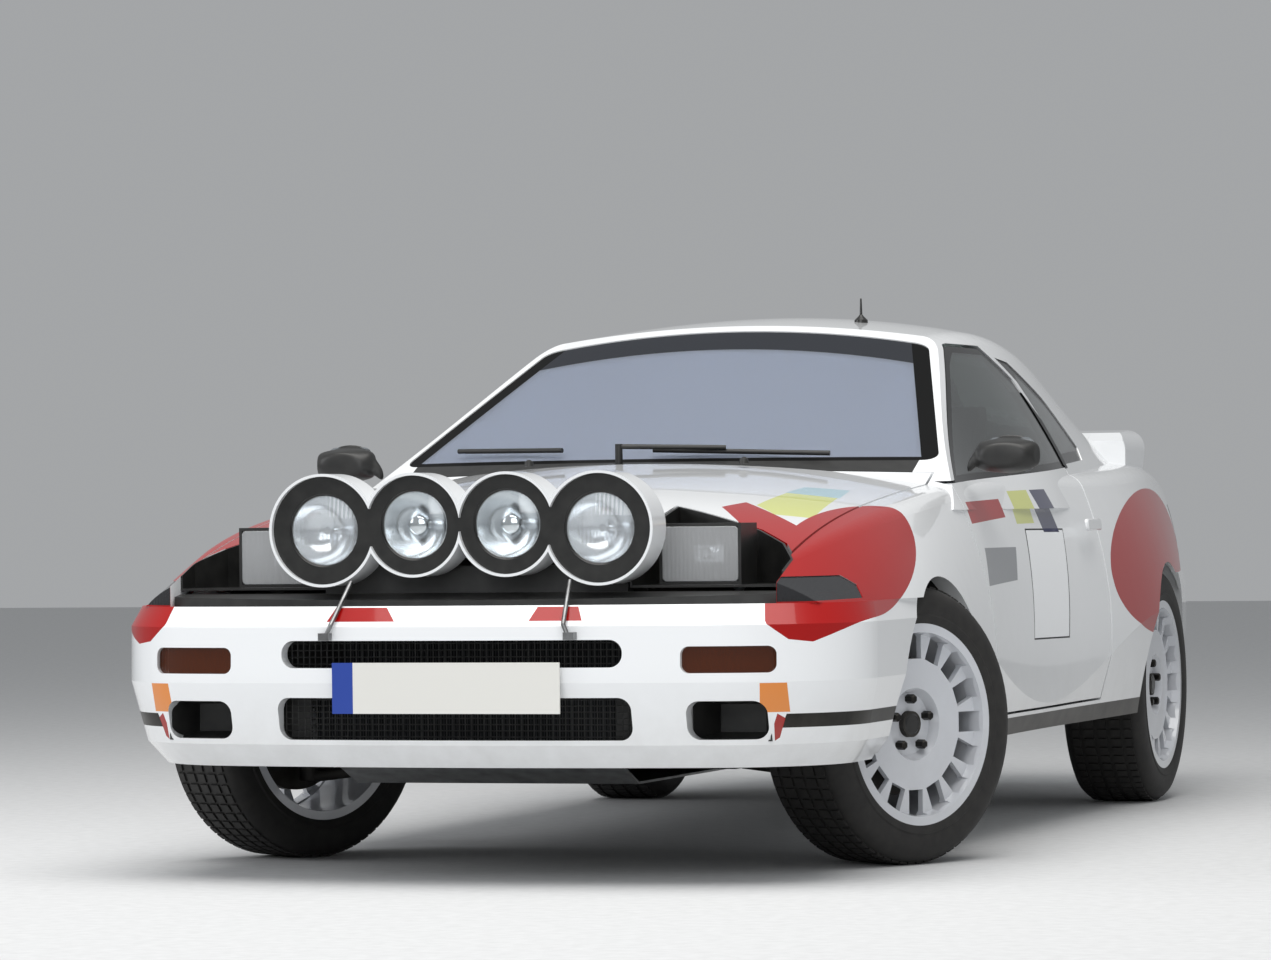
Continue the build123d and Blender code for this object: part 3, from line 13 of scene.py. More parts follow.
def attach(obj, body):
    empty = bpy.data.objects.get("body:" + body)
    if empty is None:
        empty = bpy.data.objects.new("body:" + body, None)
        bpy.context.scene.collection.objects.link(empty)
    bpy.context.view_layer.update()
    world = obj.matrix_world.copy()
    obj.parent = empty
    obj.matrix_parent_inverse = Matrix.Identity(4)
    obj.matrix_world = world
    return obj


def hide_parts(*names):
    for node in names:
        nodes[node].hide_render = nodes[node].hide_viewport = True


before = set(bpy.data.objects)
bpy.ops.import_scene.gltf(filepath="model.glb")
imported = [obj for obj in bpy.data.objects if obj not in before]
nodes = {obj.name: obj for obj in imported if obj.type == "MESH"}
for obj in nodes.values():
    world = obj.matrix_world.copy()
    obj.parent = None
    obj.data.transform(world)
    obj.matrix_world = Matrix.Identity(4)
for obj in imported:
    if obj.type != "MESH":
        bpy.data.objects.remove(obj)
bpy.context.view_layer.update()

# %% [markdown]
# ## Camera
# The photo was taken from low down in front, a little to the car's left, with a long lens. The
# camera's place and turn were worked out from the car's known sizes, so it is given as a position
# and three angles.

# %% Camera
IMAGE_WIDTH = 1271
FOCAL_PIXELS = 5287.66
SENSOR_WIDTH = 36.0
CAMERA_PLACE = Vector((3.9145, -12.8734, 0.8094))
YAW, PITCH, ROLL = radians(18.06), radians(0.319), radians(-0.66)

camera_data = bpy.data.cameras.new("photo_camera")
camera_data.sensor_width = SENSOR_WIDTH
camera_data.lens = SENSOR_WIDTH * FOCAL_PIXELS / IMAGE_WIDTH
camera = bpy.data.objects.new("photo_camera", camera_data)
bpy.context.scene.collection.objects.link(camera)
forward = Vector((-sin(YAW) * cos(PITCH), cos(YAW) * cos(PITCH), sin(PITCH)))
flat_right = Vector((cos(YAW), sin(YAW), 0))
flat_up = flat_right.cross(forward)
right = flat_right * cos(ROLL) + flat_up * sin(ROLL)
up = flat_up * cos(ROLL) - flat_right * sin(ROLL)
camera.matrix_world = Matrix.Translation(CAMERA_PLACE) @ Matrix((right, up, -forward)).transposed().to_4x4()
bpy.context.scene.camera = camera
print("lens", round(camera_data.lens, 1), "mm")

# %% [markdown]
# ## Light and floor
# White paint needs soft light with a clear direction, or its curves vanish. One very large lamp
# overhead gives the long highlight along the hood and roof, one in front lights the nose, one at the
# car's right shows that flank, and a pale sky fills the shadows. The floor is one pale sheet, far
# wider than the car.

# %% Studio
SKY_COLOUR, SKY_STRENGTH = (0.84, 0.86, 0.88, 1), 0.44
FLOOR_WIDTH = 60


def add_lamp(name, place, target, size, power, colour):
    """A rectangular lamp at a place, turned to look at a target."""
    data = bpy.data.lights.new(name, "AREA")
    data.shape = "RECTANGLE"
    data.size, data.size_y = size
    data.energy = power
    data.color = colour
    lamp = bpy.data.objects.new(name, data)
    lamp.location = place
    lamp.rotation_euler = (Vector(target) - Vector(place)).to_track_quat("-Z", "Y").to_euler()
    bpy.context.scene.collection.objects.link(lamp)


add_lamp("overhead_lamp", (0.5, -2.6, 6.5), (0, -1.2, 0), (7.0, 6.5), 530, (1.0, 0.985, 0.96))
add_lamp("front_lamp", (1.5, -10.0, 4.0), (0, -0.6, 0.5), (6.0, 4.0), 205, (0.97, 0.985, 1.0))
add_lamp("side_lamp", (-7.0, -4.0, 3.5), (0, 0, 0.6), (5.0, 3.0), 150, (0.97, 0.98, 1.0))
world = bpy.data.worlds.new("pale_sky")
bpy.context.scene.world = world
world.use_nodes = True
sky = world.node_tree.nodes["Background"]
sky.inputs["Color"].default_value = SKY_COLOUR
sky.inputs["Strength"].default_value = SKY_STRENGTH
bpy.context.scene.view_settings.view_transform = "Standard"
bpy.ops.object.select_all(action="DESELECT")
bpy.ops.mesh.primitive_plane_add(size=FLOOR_WIDTH, location=(0, 0, 0))
floor = bpy.context.object
floor.name = "studio_floor"
print("floor and three lamps placed")

# %% [markdown]
# ## A few helpers for materials
# Colours are written as web hex values, which are sRGB, and Blender's shaders want linear light, so
# one function turns one into the other. A second one adds a node with its settings and links, and
# gives back its outputs. The others build what several finishes share: a point on the car, soft
# clouds of dirt, and a fine relief.

# %% Colours, nodes and materials
METRE = 1000.0                        # a metre in millimetres, the unit that patterns are given in
MIX_A, MIX_B, MIX_COLOUR = 6, 7, 2    # a Mix node's two colour inputs, and its colour output
WAVE_HEIGHT = 1                       # a Wave Texture's output that is a plain height


def linear(hex_colour):
    """An sRGB hex value as the four linear numbers that a shader wants."""
    values = [int(hex_colour[i:i + 2], 16) / 255 for i in (1, 3, 5)]
    return tuple(v / 12.92 if v <= 0.04045 else ((v + 0.055) / 1.055) ** 2.4 for v in values) + (1.0,)


def add_node(tree, kind, inputs=None, **settings):
    """Adds a node, sets its properties, sets or links its inputs, and returns its outputs."""
    node = tree.nodes.new(kind)
    for key, value in settings.items():
        setattr(node, key, value)
    for key, value in (inputs or {}).items():
        if isinstance(value, bpy.types.NodeSocket):
            tree.links.new(value, node.inputs[key])
        else:
            node.inputs[key].default_value = linear(value) if isinstance(value, str) else value
    return node.outputs


def new_material(name, **values):
    """A material whose shader sockets hold plain values; returns it, its tree and its shader."""
    material = bpy.data.materials.new(name)
    material.use_nodes = True
    shader = material.node_tree.nodes["Principled BSDF"]
    for key, value in values.items():
        socket = shader.inputs[key.replace("_", " ").title().replace("Ior", "IOR")]
        socket.default_value = linear(value) if isinstance(value, str) else value
    return material, material.node_tree, shader


def object_points(tree, millimetres):
    """Object coordinates, scaled so that one unit is the given number of millimetres."""
    place = add_node(tree, "ShaderNodeTexCoord")["Object"]
    scale = (METRE / millimetres,) * 3
    return add_node(tree, "ShaderNodeMapping", {"Vector": place, "Scale": scale})["Vector"]


def clouds(tree, millimetres, detail, amount=1.0, roughness=0.5):
    """Soft random patches of the given size, up to the given amount."""
    noise = add_node(tree, "ShaderNodeTexNoise", {
        "Vector": object_points(tree, millimetres), "Scale": 1.0, "Detail": detail,
        "Roughness": roughness})[0]
    return add_node(tree, "ShaderNodeMath", {0: noise, 1: amount}, operation="MULTIPLY")[0]


def emboss(tree, shader, height, strength, depth_mm):
    """Turns a height between 0 and 1 into relief."""
    bump = add_node(tree, "ShaderNodeBump", {
        "Strength": strength, "Distance": depth_mm / METRE, "Height": height})["Normal"]
    tree.links.new(bump, shader.inputs["Normal"])


def grain(tree, shader, millimetres, strength, depth_mm):
    """A fine random relief, given by the size of its grains."""
    emboss(tree, shader, clouds(tree, millimetres, 2.0), strength, depth_mm)


print("material helpers ready")

# %% [markdown]
# ## Paint
# The shell is two-pack white enamel under a clear coat. The eye reads it by its sharp highlight over
# a slightly wavy film, called orange peel, and by road dust that settles low on the flanks.

# %% Paint
PEEL = (6.0, 0.08, 0.05)              # the film's waves: their size in mm, strength, and depth in mm
ROAD_DUST = "#8E8A82"
DUST_FULL_Z, DUST_TOP_Z = 0.22, 0.50


def road_film(tree, height, full_z, top_z, amount):
    """How much dust lies on the paint: none above top_z, most from full_z down, in soft clouds."""
    low = add_node(tree, "ShaderNodeMapRange", {
        "Value": height, "From Min": top_z, "From Max": full_z, "To Max": amount},
        interpolation_type="SMOOTHSTEP")["Result"]
    cloud = clouds(tree, 90.0, 5.0, roughness=0.65)
    return add_node(tree, "ShaderNodeMath", {0: low, 1: cloud}, operation="MULTIPLY")[0]


def dusty_paint(name, colour, dust, full_z, top_z, amount):
    """Clear-coated enamel whose lower part carries a thin film of road dust."""
    material, tree, shader = new_material(name, roughness=0.32, coat_weight=1.0, coat_roughness=0.04)
    height = add_node(tree, "ShaderNodeSeparateXYZ", {"Vector": object_points(tree, METRE)})["Z"]
    film = road_film(tree, height, full_z, top_z, amount)
    dusted = add_node(tree, "ShaderNodeMix", {"Factor": film, MIX_A: colour, MIX_B: dust}, data_type="RGBA")
    tree.links.new(dusted[MIX_COLOUR], shader.inputs["Base Color"])
    grain(tree, shader, *PEEL)
    return material


white_enamel = dusty_paint("white_two_pack_enamel", "#E6E8EA", ROAD_DUST, DUST_FULL_Z, DUST_TOP_Z, 0.45)
cage_enamel = dusty_paint("white_roll_cage_enamel", "#D9DADB", ROAD_DUST, 0.2, 0.4, 0.4)
wheel_paint = dusty_paint("white_wheel_enamel", "#D5D8DE", "#7D7A76", 0.0, 0.7, 0.35)
print("paint ready")

# %% [markdown]
# ## Patches cut in the paint
# The coloured patches are vinyl, far thinner than the paint, so they are drawn inside the paint's own
# material, on Object coordinates. |x| is used, so one drawing serves both flanks. Each shape is a
# list of gaps, which say how far a point lies inside one of its edges: a patch has one for each
# straight edge, and an oval has one round edge. A point is on the vinyl where every gap is above
# zero. The last gap keeps the vinyl off the inner faces of a panel.

# %% Shapes drawn on the paint
def placed_point(tree):
    """The point in metres, its distance from the middle, and how far its face looks outwards."""
    x, y, z = add_node(tree, "ShaderNodeSeparateXYZ", {"Vector": object_points(tree, METRE)})
    side = add_node(tree, "ShaderNodeMath", {0: x}, operation="ABSOLUTE")[0]
    flank = add_node(tree, "ShaderNodeMath", {0: x}, operation="SIGN")[0]
    outward = add_node(tree, "ShaderNodeCombineXYZ", {"X": flank, "Y": -1.0, "Z": 1.0})[0]
    normal = add_node(tree, "ShaderNodeTexCoord")["Normal"]
    facing = add_node(tree, "ShaderNodeVectorMath", {0: normal, 1: outward},
                      operation="DOT_PRODUCT")["Value"]
    return {"x": x, "y": y, "z": z, "side": side, "facing": facing}


def edge_gaps(tree, across, upward, corners, margin=0.0):
    """The gaps of a convex patch, given by its corners in two of the point's values."""
    spot = add_node(tree, "ShaderNodeCombineXYZ", {"X": across, "Y": upward, "Z": 1.0})[0]
    middle = Vector((sum(a for a, _ in corners), sum(b for _, b in corners))) / len(corners)
    gaps = []
    for (a0, b0), (a1, b1) in zip(corners, corners[1:] + corners[:1]):
        normal = Vector((b0 - b1, a1 - a0)).normalized()
        if normal.dot(middle - Vector((a0, b0))) < 0:
            normal.negate()
        edge = (*normal, -normal.dot(Vector((a0, b0))) - margin)
        gap = add_node(tree, "ShaderNodeVectorMath", {0: spot, 1: edge}, operation="DOT_PRODUCT")["Value"]
        gaps.append(gap)
    return gaps


def oval_gap(tree, across, upward, middle, radii, lean_deg):
    """The gap of an oval, given by its middle, its two radii in metres and how far it leans."""
    spot = add_node(tree, "ShaderNodeCombineXYZ", {"X": across, "Y": upward})[0]
    own_units = add_node(tree, "ShaderNodeMapping", {
        "Vector": spot, "Location": (*middle, 0.0), "Rotation": (0.0, 0.0, radians(lean_deg)),
        "Scale": (*radii, 1.0)}, vector_type="TEXTURE")[0]
    away = add_node(tree, "ShaderNodeVectorMath", {0: own_units}, operation="LENGTH")["Value"]
    return add_node(tree, "ShaderNodeMath", {0: 1.0, 1: away}, operation="SUBTRACT")[0]


def inside(tree, gaps):
    """1 where every gap is above zero, and 0 elsewhere."""
    least = gaps[0]
    for gap in gaps[1:]:
        least = add_node(tree, "ShaderNodeMath", {0: least, 1: gap}, operation="MINIMUM")[0]
    return add_node(tree, "ShaderNodeMath", {0: least, 1: 0.0}, operation="GREATER_THAN")[0]


print("patch shapes ready")

# %% [markdown]
# A panel's paint lays its patches one over the other. Vinyl has less gloss than the clear coat. The
# black and red patches have the least, so that the big lamp doesn't wash them out.

# %% Paint with patches
WHITE = "#EDEFF1"
RED, ORANGE, YELLOW, PALE_BLUE = "#A00A08", "#E08428", "#CFD47A", "#A9C6CC"
NAVY, GREY, BLACK = "#20234A", "#7B7E82", "#0B0C0D"
MATTNESS = {BLACK: 0.9, RED: 0.6}
OTHER_MATTNESS = 0.3


def livery_paint(name, patches):
    """White enamel that carries patches: a list of (colour, function that gives the shape's gaps)."""
    material, tree, shader = new_material(name, roughness=0.3, coat_weight=1.0, coat_roughness=0.04)
    point = placed_point(tree)
    colour, matt = WHITE, 0.0
    for vinyl, shape in patches:
        mask = inside(tree, shape(tree, point))
        colour = add_node(tree, "ShaderNodeMix", {"Factor": mask, MIX_A: colour, MIX_B: vinyl},
                          data_type="RGBA")[MIX_COLOUR]
        dull = add_node(tree, "ShaderNodeMath", {0: mask, 1: MATTNESS.get(vinyl, OTHER_MATTNESS)},
                        operation="MULTIPLY")[0]
        matt = add_node(tree, "ShaderNodeMath", {0: matt, 1: dull}, operation="MAXIMUM")[0]
    gloss = add_node(tree, "ShaderNodeMath", {0: 1.0, 1: matt}, operation="SUBTRACT")[0]
    tree.links.new(gloss, shader.inputs["Coat Weight"])
    specular = add_node(tree, "ShaderNodeMath", {0: gloss, 1: 0.5}, operation="MULTIPLY")[0]
    tree.links.new(specular, shader.inputs["Specular IOR Level"])
    film = road_film(tree, point["z"], DUST_FULL_Z, DUST_TOP_Z, 0.4)
    dusted = add_node(tree, "ShaderNodeMix", {"Factor": film, MIX_A: colour, MIX_B: ROAD_DUST},
                      data_type="RGBA")
    tree.links.new(dusted[MIX_COLOUR], shader.inputs["Base Color"])
    grain(tree, shader, *PEEL)
    return material


def patch(across, upward, corners):
    """A straight-edged patch, by the names of the two values that it is drawn in."""
    def shape(tree, point):
        return edge_gaps(tree, point[across], point[upward], corners) + [point["facing"]]
    return shape


print("panel paint ready")

# %% [markdown]
# The front oval wraps from the bumper over the wing to the hood, so it is drawn on a plane that
# leans 45 degrees between the flank and the hood. The rear oval lies on the flank alone. Black
# inside the bumper's intakes, and black on the flank's lower edge, are painted shade.

# %% Ovals, and painted shade in the intakes and under the sill
FRONT_OVAL = {"middle": (-1.685, -0.047), "radii": (0.436, 0.138), "lean_deg": 9.8}
REAR_OVAL = {"middle": (1.268, 0.654), "radii": (0.702, 0.194), "lean_deg": 3.0}
OVAL_INNER_X = 0.58
SLANT = 0.7                           # about the cosine of those 45 degrees
BUMPER_BOWL = [(0.690, 0.566), (0.735, 0.530), (0.790, 0.522), (0.870, 0.545), (0.950, 0.600), (0.950, 0.700),
               (0.660, 0.700)]
INTAKE_SHADE_CORNERS = [(-0.01, 0.304), (0.475, 0.304), (0.475, 0.56), (-0.01, 0.56)]
INTAKE_LIP_Y = -2.125
SILL_SHADE_TOP_Z = 0.297


def front_oval(tree, point):
    rise = add_node(tree, "ShaderNodeMath", {0: point["z"], 1: point["side"]}, operation="SUBTRACT")[0]
    upward = add_node(tree, "ShaderNodeMath", {0: rise, 1: SLANT}, operation="MULTIPLY")[0]
    beyond = add_node(tree, "ShaderNodeMath", {0: point["side"], 1: OVAL_INNER_X}, operation="SUBTRACT")[0]
    return [oval_gap(tree, point["y"], upward, **FRONT_OVAL), beyond, point["facing"]]


def bumper_corner(tree, point):
    """The part of the front oval that runs down onto the bumper, cut off by a bowl."""
    return front_oval(tree, point) + edge_gaps(tree, point["side"], point["z"], BUMPER_BOWL)


def rear_oval(tree, point):
    return [oval_gap(tree, point["y"], point["z"], **REAR_OVAL), point["facing"]]


def painted_intake_shade(tree, point):
    """The walls of the bumper's intakes, behind its rounded front edges, painted black as painted shade."""
    deep = add_node(tree, "ShaderNodeMath", {0: point["y"], 1: INTAKE_LIP_Y}, operation="SUBTRACT")[0]
    return edge_gaps(tree, point["side"], point["z"], INTAKE_SHADE_CORNERS) + [deep]


# The flank is black below the sill's lower edge: painted shade under the sill.
def painted_sill_shade(tree, point):
    return [add_node(tree, "ShaderNodeMath", {0: SILL_SHADE_TOP_Z, 1: point["z"]}, operation="SUBTRACT")[0]]


print("two ovals, intake walls and strip ready")

# %% Paint of each panel
front_paint = livery_paint("front_wing_enamel", [(RED, front_oval)])
hood_paint = livery_paint("hood_enamel", [
    (YELLOW, patch("side", "y", [(0.50, -1.53), (0.505, -1.16), (0.60, -1.11), (0.645, -1.58),
                                 (0.565, -1.605)])),
    (PALE_BLUE, patch("side", "y", [(0.50, -1.30), (0.505, -1.16), (0.60, -1.11), (0.62, -1.27)])),
    (RED, patch("side", "y", [(0.44, -1.60), (0.47, -1.51), (0.68, -1.72), (0.70, -1.86), (0.60, -1.86)])),
    (RED, front_oval)])
bumper_paint = livery_paint("bumper_enamel", [
    (RED, bumper_corner),
    # Black on the intakes' walls is painted shade.
    (BLACK, painted_intake_shade),
    (RED, patch("x", "z", [(-0.284, 0.573), (-0.124, 0.573), (-0.150, 0.603), (-0.270, 0.603)])),
    (RED, patch("x", "z", [(0.182, 0.573), (0.300, 0.573), (0.285, 0.603), (0.195, 0.603)])),
    (ORANGE, patch("side", "z", [(0.675, 0.375), (0.732, 0.375), (0.732, 0.438), (0.680, 0.438)])),
    (BLACK, patch("side", "z", [(0.713, 0.341), (0.95, 0.341), (0.95, 0.371), (0.725, 0.371)])),
    (RED, patch("side", "z", [(0.698, 0.313), (0.708, 0.320), (0.722, 0.362), (0.708, 0.372),
                              (0.700, 0.350)]))])
door_paint = livery_paint("door_enamel", [
    (BLACK, patch("y", "z", [(-0.145, 0.751), (0.221, 0.749), (0.095, 0.475), (-0.268, 0.479)])),
    (WHITE, patch("y", "z", [(-0.139, 0.747), (0.215, 0.745), (0.09, 0.479), (-0.262, 0.483)])),
    (RED, patch("y", "z", [(-0.68, 0.818), (-0.315, 0.825), (-0.305, 0.78), (-0.692, 0.766)])),
    (YELLOW, patch("y", "z", [(-0.205, 0.844), (-0.034, 0.847), (-0.033, 0.764), (-0.209, 0.763)])),
    (NAVY, patch("y", "z", [(-0.009, 0.847), (0.137, 0.849), (0.181, 0.74), (0.035, 0.741)])),
    (GREY, patch("y", "z", [(-0.644, 0.708), (-0.29, 0.707), (-0.356, 0.627), (-0.706, 0.618)]))])
side_paint = livery_paint("side_enamel", [
    (RED, rear_oval),
    # The black below the sill's edge is painted shade.
    (BLACK, painted_sill_shade),
    (BLACK, patch("y", "z", [(0.545, 0.900), (0.612, 0.906), (0.530, 1.135), (0.440, 1.197), (0.40, 1.195),
                             (0.470, 1.125)]))])
print("panel paints ready")

# %% [markdown]
# ## Plastics and rubber
# Mirrors, cowl and nose panel are ABS moulded with a fine matt grain. The mud flaps and tyres are
# rubber, rougher, and greyer where dust lodges. All of them are the same thing to the shader: a dark
# base, clouds of dirt over it, and pores.

# %% Plastics and rubber
def worn(name, colour, dirt, cloud, pores, **values):
    """A base with clouds of dirt (size in mm, detail, amount) and pores (size in mm, strength, depth)."""
    material, tree, shader = new_material(name, **values)
    base = add_node(tree, "ShaderNodeMix", {"Factor": clouds(tree, *cloud), MIX_A: colour, MIX_B: dirt},
                    data_type="RGBA")
    tree.links.new(base[MIX_COLOUR], shader.inputs["Base Color"])
    grain(tree, shader, *pores)
    return material


def moulded(name, colour, roughness, grain_mm, relief):
    """Moulded or sprayed plastic and rubber, with a little pale dust."""
    return worn(name, colour, "#5C5B58", (35.0, 3.0, 0.25), (grain_mm, relief, 0.15), roughness=roughness,
                ior=1.5)


black_abs = moulded("black_moulded_abs", "#0B0C0D", 0.42, 1.2, 0.25)
satin_black = moulded("satin_black_paint", "#08090A", 0.3, 4.0, 0.05)
liner_plastic = moulded("black_liner_polyethylene", "#0B0B0B", 0.75, 3.0, 0.4)
flap_rubber = moulded("flap_rubber", "#121212", 0.7, 2.0, 0.3)
tyre_material = worn("tyre_rubber", "#0E0E0F", "#4A4743", (25.0, 6.0, 0.35), (1.5, 0.35, 0.2), roughness=0.7)
print("plastics and rubber ready")

# %% [markdown]
# ## Glass
# The side glass is slightly green. Its border is black ceramic enamel baked on, which hides the glue
# line, so it follows the outline of each pane. It is drawn with the same gaps as the vinyl, each
# shortened by the border's width.

# %% Side glass
CERAMIC = "#050505"
SIDE_TINT = "#7C8685"
DOOR_PANE = [(-0.666, 0.863), (-0.578, 0.909), (-0.399, 1.0), (-0.130, 1.133), (-0.040, 1.178),
             (0.060, 1.212), (0.330, 1.212), (0.475, 1.130), (0.554, 0.906)]
QUARTER_PANE = [(0.606, 0.915), (0.525, 1.130), (0.560, 1.182), (0.800, 1.090), (0.985, 0.962),
                (0.960, 0.928)]


def bordered_glass(name, outline, border_mm):
    """Tinted glass with a baked border round an outline of (y, z) points."""
    material, tree, shader = new_material(name, ior=1.5, specular_ior_level=0.25)
    _, y, z = add_node(tree, "ShaderNodeSeparateXYZ", {"Vector": object_points(tree, METRE)})
    clear = inside(tree, edge_gaps(tree, y, z, outline, border_mm / METRE))
    colour = add_node(tree, "ShaderNodeMix", {"Factor": clear, MIX_A: CERAMIC, MIX_B: SIDE_TINT},
                      data_type="RGBA")
    tree.links.new(colour[MIX_COLOUR], shader.inputs["Base Color"])
    tree.links.new(clear, shader.inputs["Transmission Weight"])
    rough = add_node(tree, "ShaderNodeMath", {0: clear, 1: -0.2, 2: 0.2}, operation="MULTIPLY_ADD")[0]
    tree.links.new(rough, shader.inputs["Roughness"])
    return material


door_glass = bordered_glass("tinted_door_glass", DOOR_PANE, 16)
quarter_glass = bordered_glass("tinted_quarter_glass", QUARTER_PANE, 26)
print("side glass ready")

# %% [markdown]
# The windscreen leans back by about 66 degrees from upright, so its outline is drawn along its own
# slope: two sides that close in upwards, a bowed lower edge, and a dark sun strip along the top. A
# point on it has three numbers: how far it is from the middle, how far up the slope, and the first
# one squared, which bends an edge into a bow. A gap is a constant plus the three, each with its weight.

# %% Windscreen glass
SCREEN_SLOPE = radians(23.7)
FOOT_Y, FOOT_Z = -0.800, 0.918
HALF_FOOT, CLOSING = 0.7116, 0.2731
FOOT_RISE, FOOT_BOW = 0.012, 0.331
TOP_UP, TOP_BOW = 0.848, 0.103
BORDER_WIDE, SUN_STRIP_WIDE = 0.026, 0.115


def windscreen_glass():
    """Clear glass with a baked border at its sides and foot, a dark sun strip, and below the strip a pale
    blue-grey colour that is a painted reflection of the sky.
    """
    material, tree, shader = new_material("laminated_windscreen", ior=1.5)
    points = object_points(tree, METRE)
    x = add_node(tree, "ShaderNodeSeparateXYZ", {"Vector": points})["X"]
    across = add_node(tree, "ShaderNodeMath", {0: x}, operation="ABSOLUTE")[0]
    squared = add_node(tree, "ShaderNodeMath", {0: across, 1: across}, operation="MULTIPLY")[0]
    slope = Vector((0.0, cos(SCREEN_SLOPE), sin(SCREEN_SLOPE)))
    along = add_node(tree, "ShaderNodeVectorMath", {0: points, 1: slope},
                     operation="DOT_PRODUCT")["Value"]
    foot = slope.dot(Vector((0.0, FOOT_Y, FOOT_Z)))
    up_slope = add_node(tree, "ShaderNodeMath", {0: along, 1: foot}, operation="SUBTRACT")[0]
    spot = add_node(tree, "ShaderNodeCombineXYZ", {"X": across, "Y": up_slope, "Z": squared})[0]

    def gap(weights, rest):
        total = add_node(tree, "ShaderNodeVectorMath", {0: spot, 1: weights},
                         operation="DOT_PRODUCT")["Value"]
        return add_node(tree, "ShaderNodeMath", {0: total, 1: rest}, operation="ADD")[0]

    glazed = inside(tree, [gap((-1.0, -CLOSING, 0.0), HALF_FOOT - BORDER_WIDE),
                           gap((0.0, 1.0, -FOOT_BOW), -FOOT_RISE - BORDER_WIDE)])
    below = inside(tree, [gap((0.0, -1.0, -TOP_BOW), TOP_UP - SUN_STRIP_WIDE)])
    # The sun strip is dark; below it the base colour #C3CDE0 is a painted reflection of the sky.
    sun_strip_and_painted_sky = add_node(tree, "ShaderNodeMix", {"Factor": below, MIX_A: "#1D222C", MIX_B: "#C3CDE0"},
                    data_type="RGBA")
    colour = add_node(tree, "ShaderNodeMix", {"Factor": glazed, MIX_A: CERAMIC, MIX_B: sun_strip_and_painted_sky[MIX_COLOUR]},
                      data_type="RGBA")
    tree.links.new(colour[MIX_COLOUR], shader.inputs["Base Color"])
    halved = add_node(tree, "ShaderNodeMath", {0: below, 1: 0.5, 2: 0.5}, operation="MULTIPLY_ADD")[0]
    clear = add_node(tree, "ShaderNodeMath", {0: glazed, 1: halved}, operation="MULTIPLY")[0]
    seen_through = add_node(tree, "ShaderNodeMath", {0: clear, 1: 0.80}, operation="MULTIPLY")[0]
    tree.links.new(seen_through, shader.inputs["Transmission Weight"])
    specular = add_node(tree, "ShaderNodeMath", {0: clear, 1: 0.4, 2: 0.1}, operation="MULTIPLY_ADD")[0]
    tree.links.new(specular, shader.inputs["Specular IOR Level"])
    return material


windscreen_material = windscreen_glass()
clear_glass, _, _ = new_material("toughened_rear_glass", base_color="#B9C4C0", ior=1.5, roughness=0.0,
                                 transmission_weight=1.0)
print("windscreen and rear glass ready")

# %% [markdown]
# ## Lamp glass and metals
# A lamp is chrome behind clear glass: the chrome is metallic with almost no roughness, and the glass
# has moulded flutes that break up the reflection. Castings are rough and grey, and the radiator's
# fins are a fine vertical ripple, with painted shade darkening its troughs.

# %% Lamp glass
def fluted_lens(name, colour, transmission, roughness):
    """Lamp glass with flutes 9 mm apart."""
    material, tree, shader = new_material(name, base_color=colour, ior=1.49, roughness=roughness,
                                          transmission_weight=transmission)
    flutes = add_node(tree, "ShaderNodeTexWave", {"Vector": object_points(tree, 9.0), "Scale": 0.3},
                      bands_direction="X")[WAVE_HEIGHT]
    emboss(tree, shader, flutes, 0.35, 1.0)
    return material


lamp_lens = fluted_lens("fluted_lamp_glass", "#F2F5F7", 0.86, 0.03)
headlamp_lens = fluted_lens("fluted_headlamp_glass", "#F4F6F8", 0.70, 0.03)
clear_lens, _, _ = new_material("clear_lamp_glass", base_color="#F2F5F6", ior=1.5, roughness=0.0,
                                transmission_weight=1.0)
amber_lens = fluted_lens("amber_acrylic", "#5E2805", 0.45, 0.12)
red_lens = fluted_lens("red_acrylic", "#7C0A0A", 0.3, 0.12)
smoked_lens = fluted_lens("smoked_acrylic", "#3B3C3F", 0.45, 0.06)
print("lamp glass ready")

# %% Metals
chrome, _, _ = new_material("aluminised_reflector", base_color="#F4F6F8", metallic=1.0, roughness=0.16)


def metal(name, colour, roughness, grain_mm, relief, metallic=1.0):
    """Metal with a dark bloom and its own grain."""
    return worn(name, colour, "#3A3732", (40.0, 4.0), (grain_mm, relief, 0.2), metallic=metallic,
                roughness=roughness)


bare_aluminium = metal("brushed_aluminium", "#A9ABAD", 0.35, 1.5, 0.15)
cast_iron = metal("sand_cast_iron", "#5B5A58", 0.65, 2.0, 0.5)
chassis_steel = metal("black_chassis_steel", "#1C1C1D", 0.6, 2.5, 0.3, 0.3)
exhaust_steel = metal("sooted_exhaust_steel", "#8A8378", 0.4, 3.0, 0.2)
nut_steel = metal("blacked_nut_steel", "#2A2B2D", 0.35, 1.0, 0.1)


def finned_core():
    """Radiator fins: a vertical ripple, drawn at twice the real 3 mm pitch so that it shows, with painted
    shade that darkens its troughs.
    """
    material, tree, shader = new_material("dark_radiator_fins", roughness=0.5, metallic=0.6)
    fins = add_node(tree, "ShaderNodeTexWave", {"Vector": object_points(tree, 6.0), "Scale": 0.31},
                    bands_direction="X")[WAVE_HEIGHT]
    # The colour follows the ripple: its troughs are darker, a painted shade between the fins.
    colour = add_node(tree, "ShaderNodeMix", {"Factor": fins, MIX_A: "#0D0E0F", MIX_B: "#3A3C3E"},
                      data_type="RGBA")
    tree.links.new(colour[MIX_COLOUR], shader.inputs["Base Color"])
    emboss(tree, shader, fins, 0.6, 2.0)
    return material


radiator_fins = finned_core()
print("metals ready")

# %% [markdown]
# ## Cloth, plate and floor
# The seats are flame-proof knit over foam, and the belts are webbing: both are two crossing ripples
# as wide as the threads. The plate is a white reflective sheet, and the floor is pale concrete.

# %% Cloth, plate and floor
BLUE_BAND_MM = -212.0


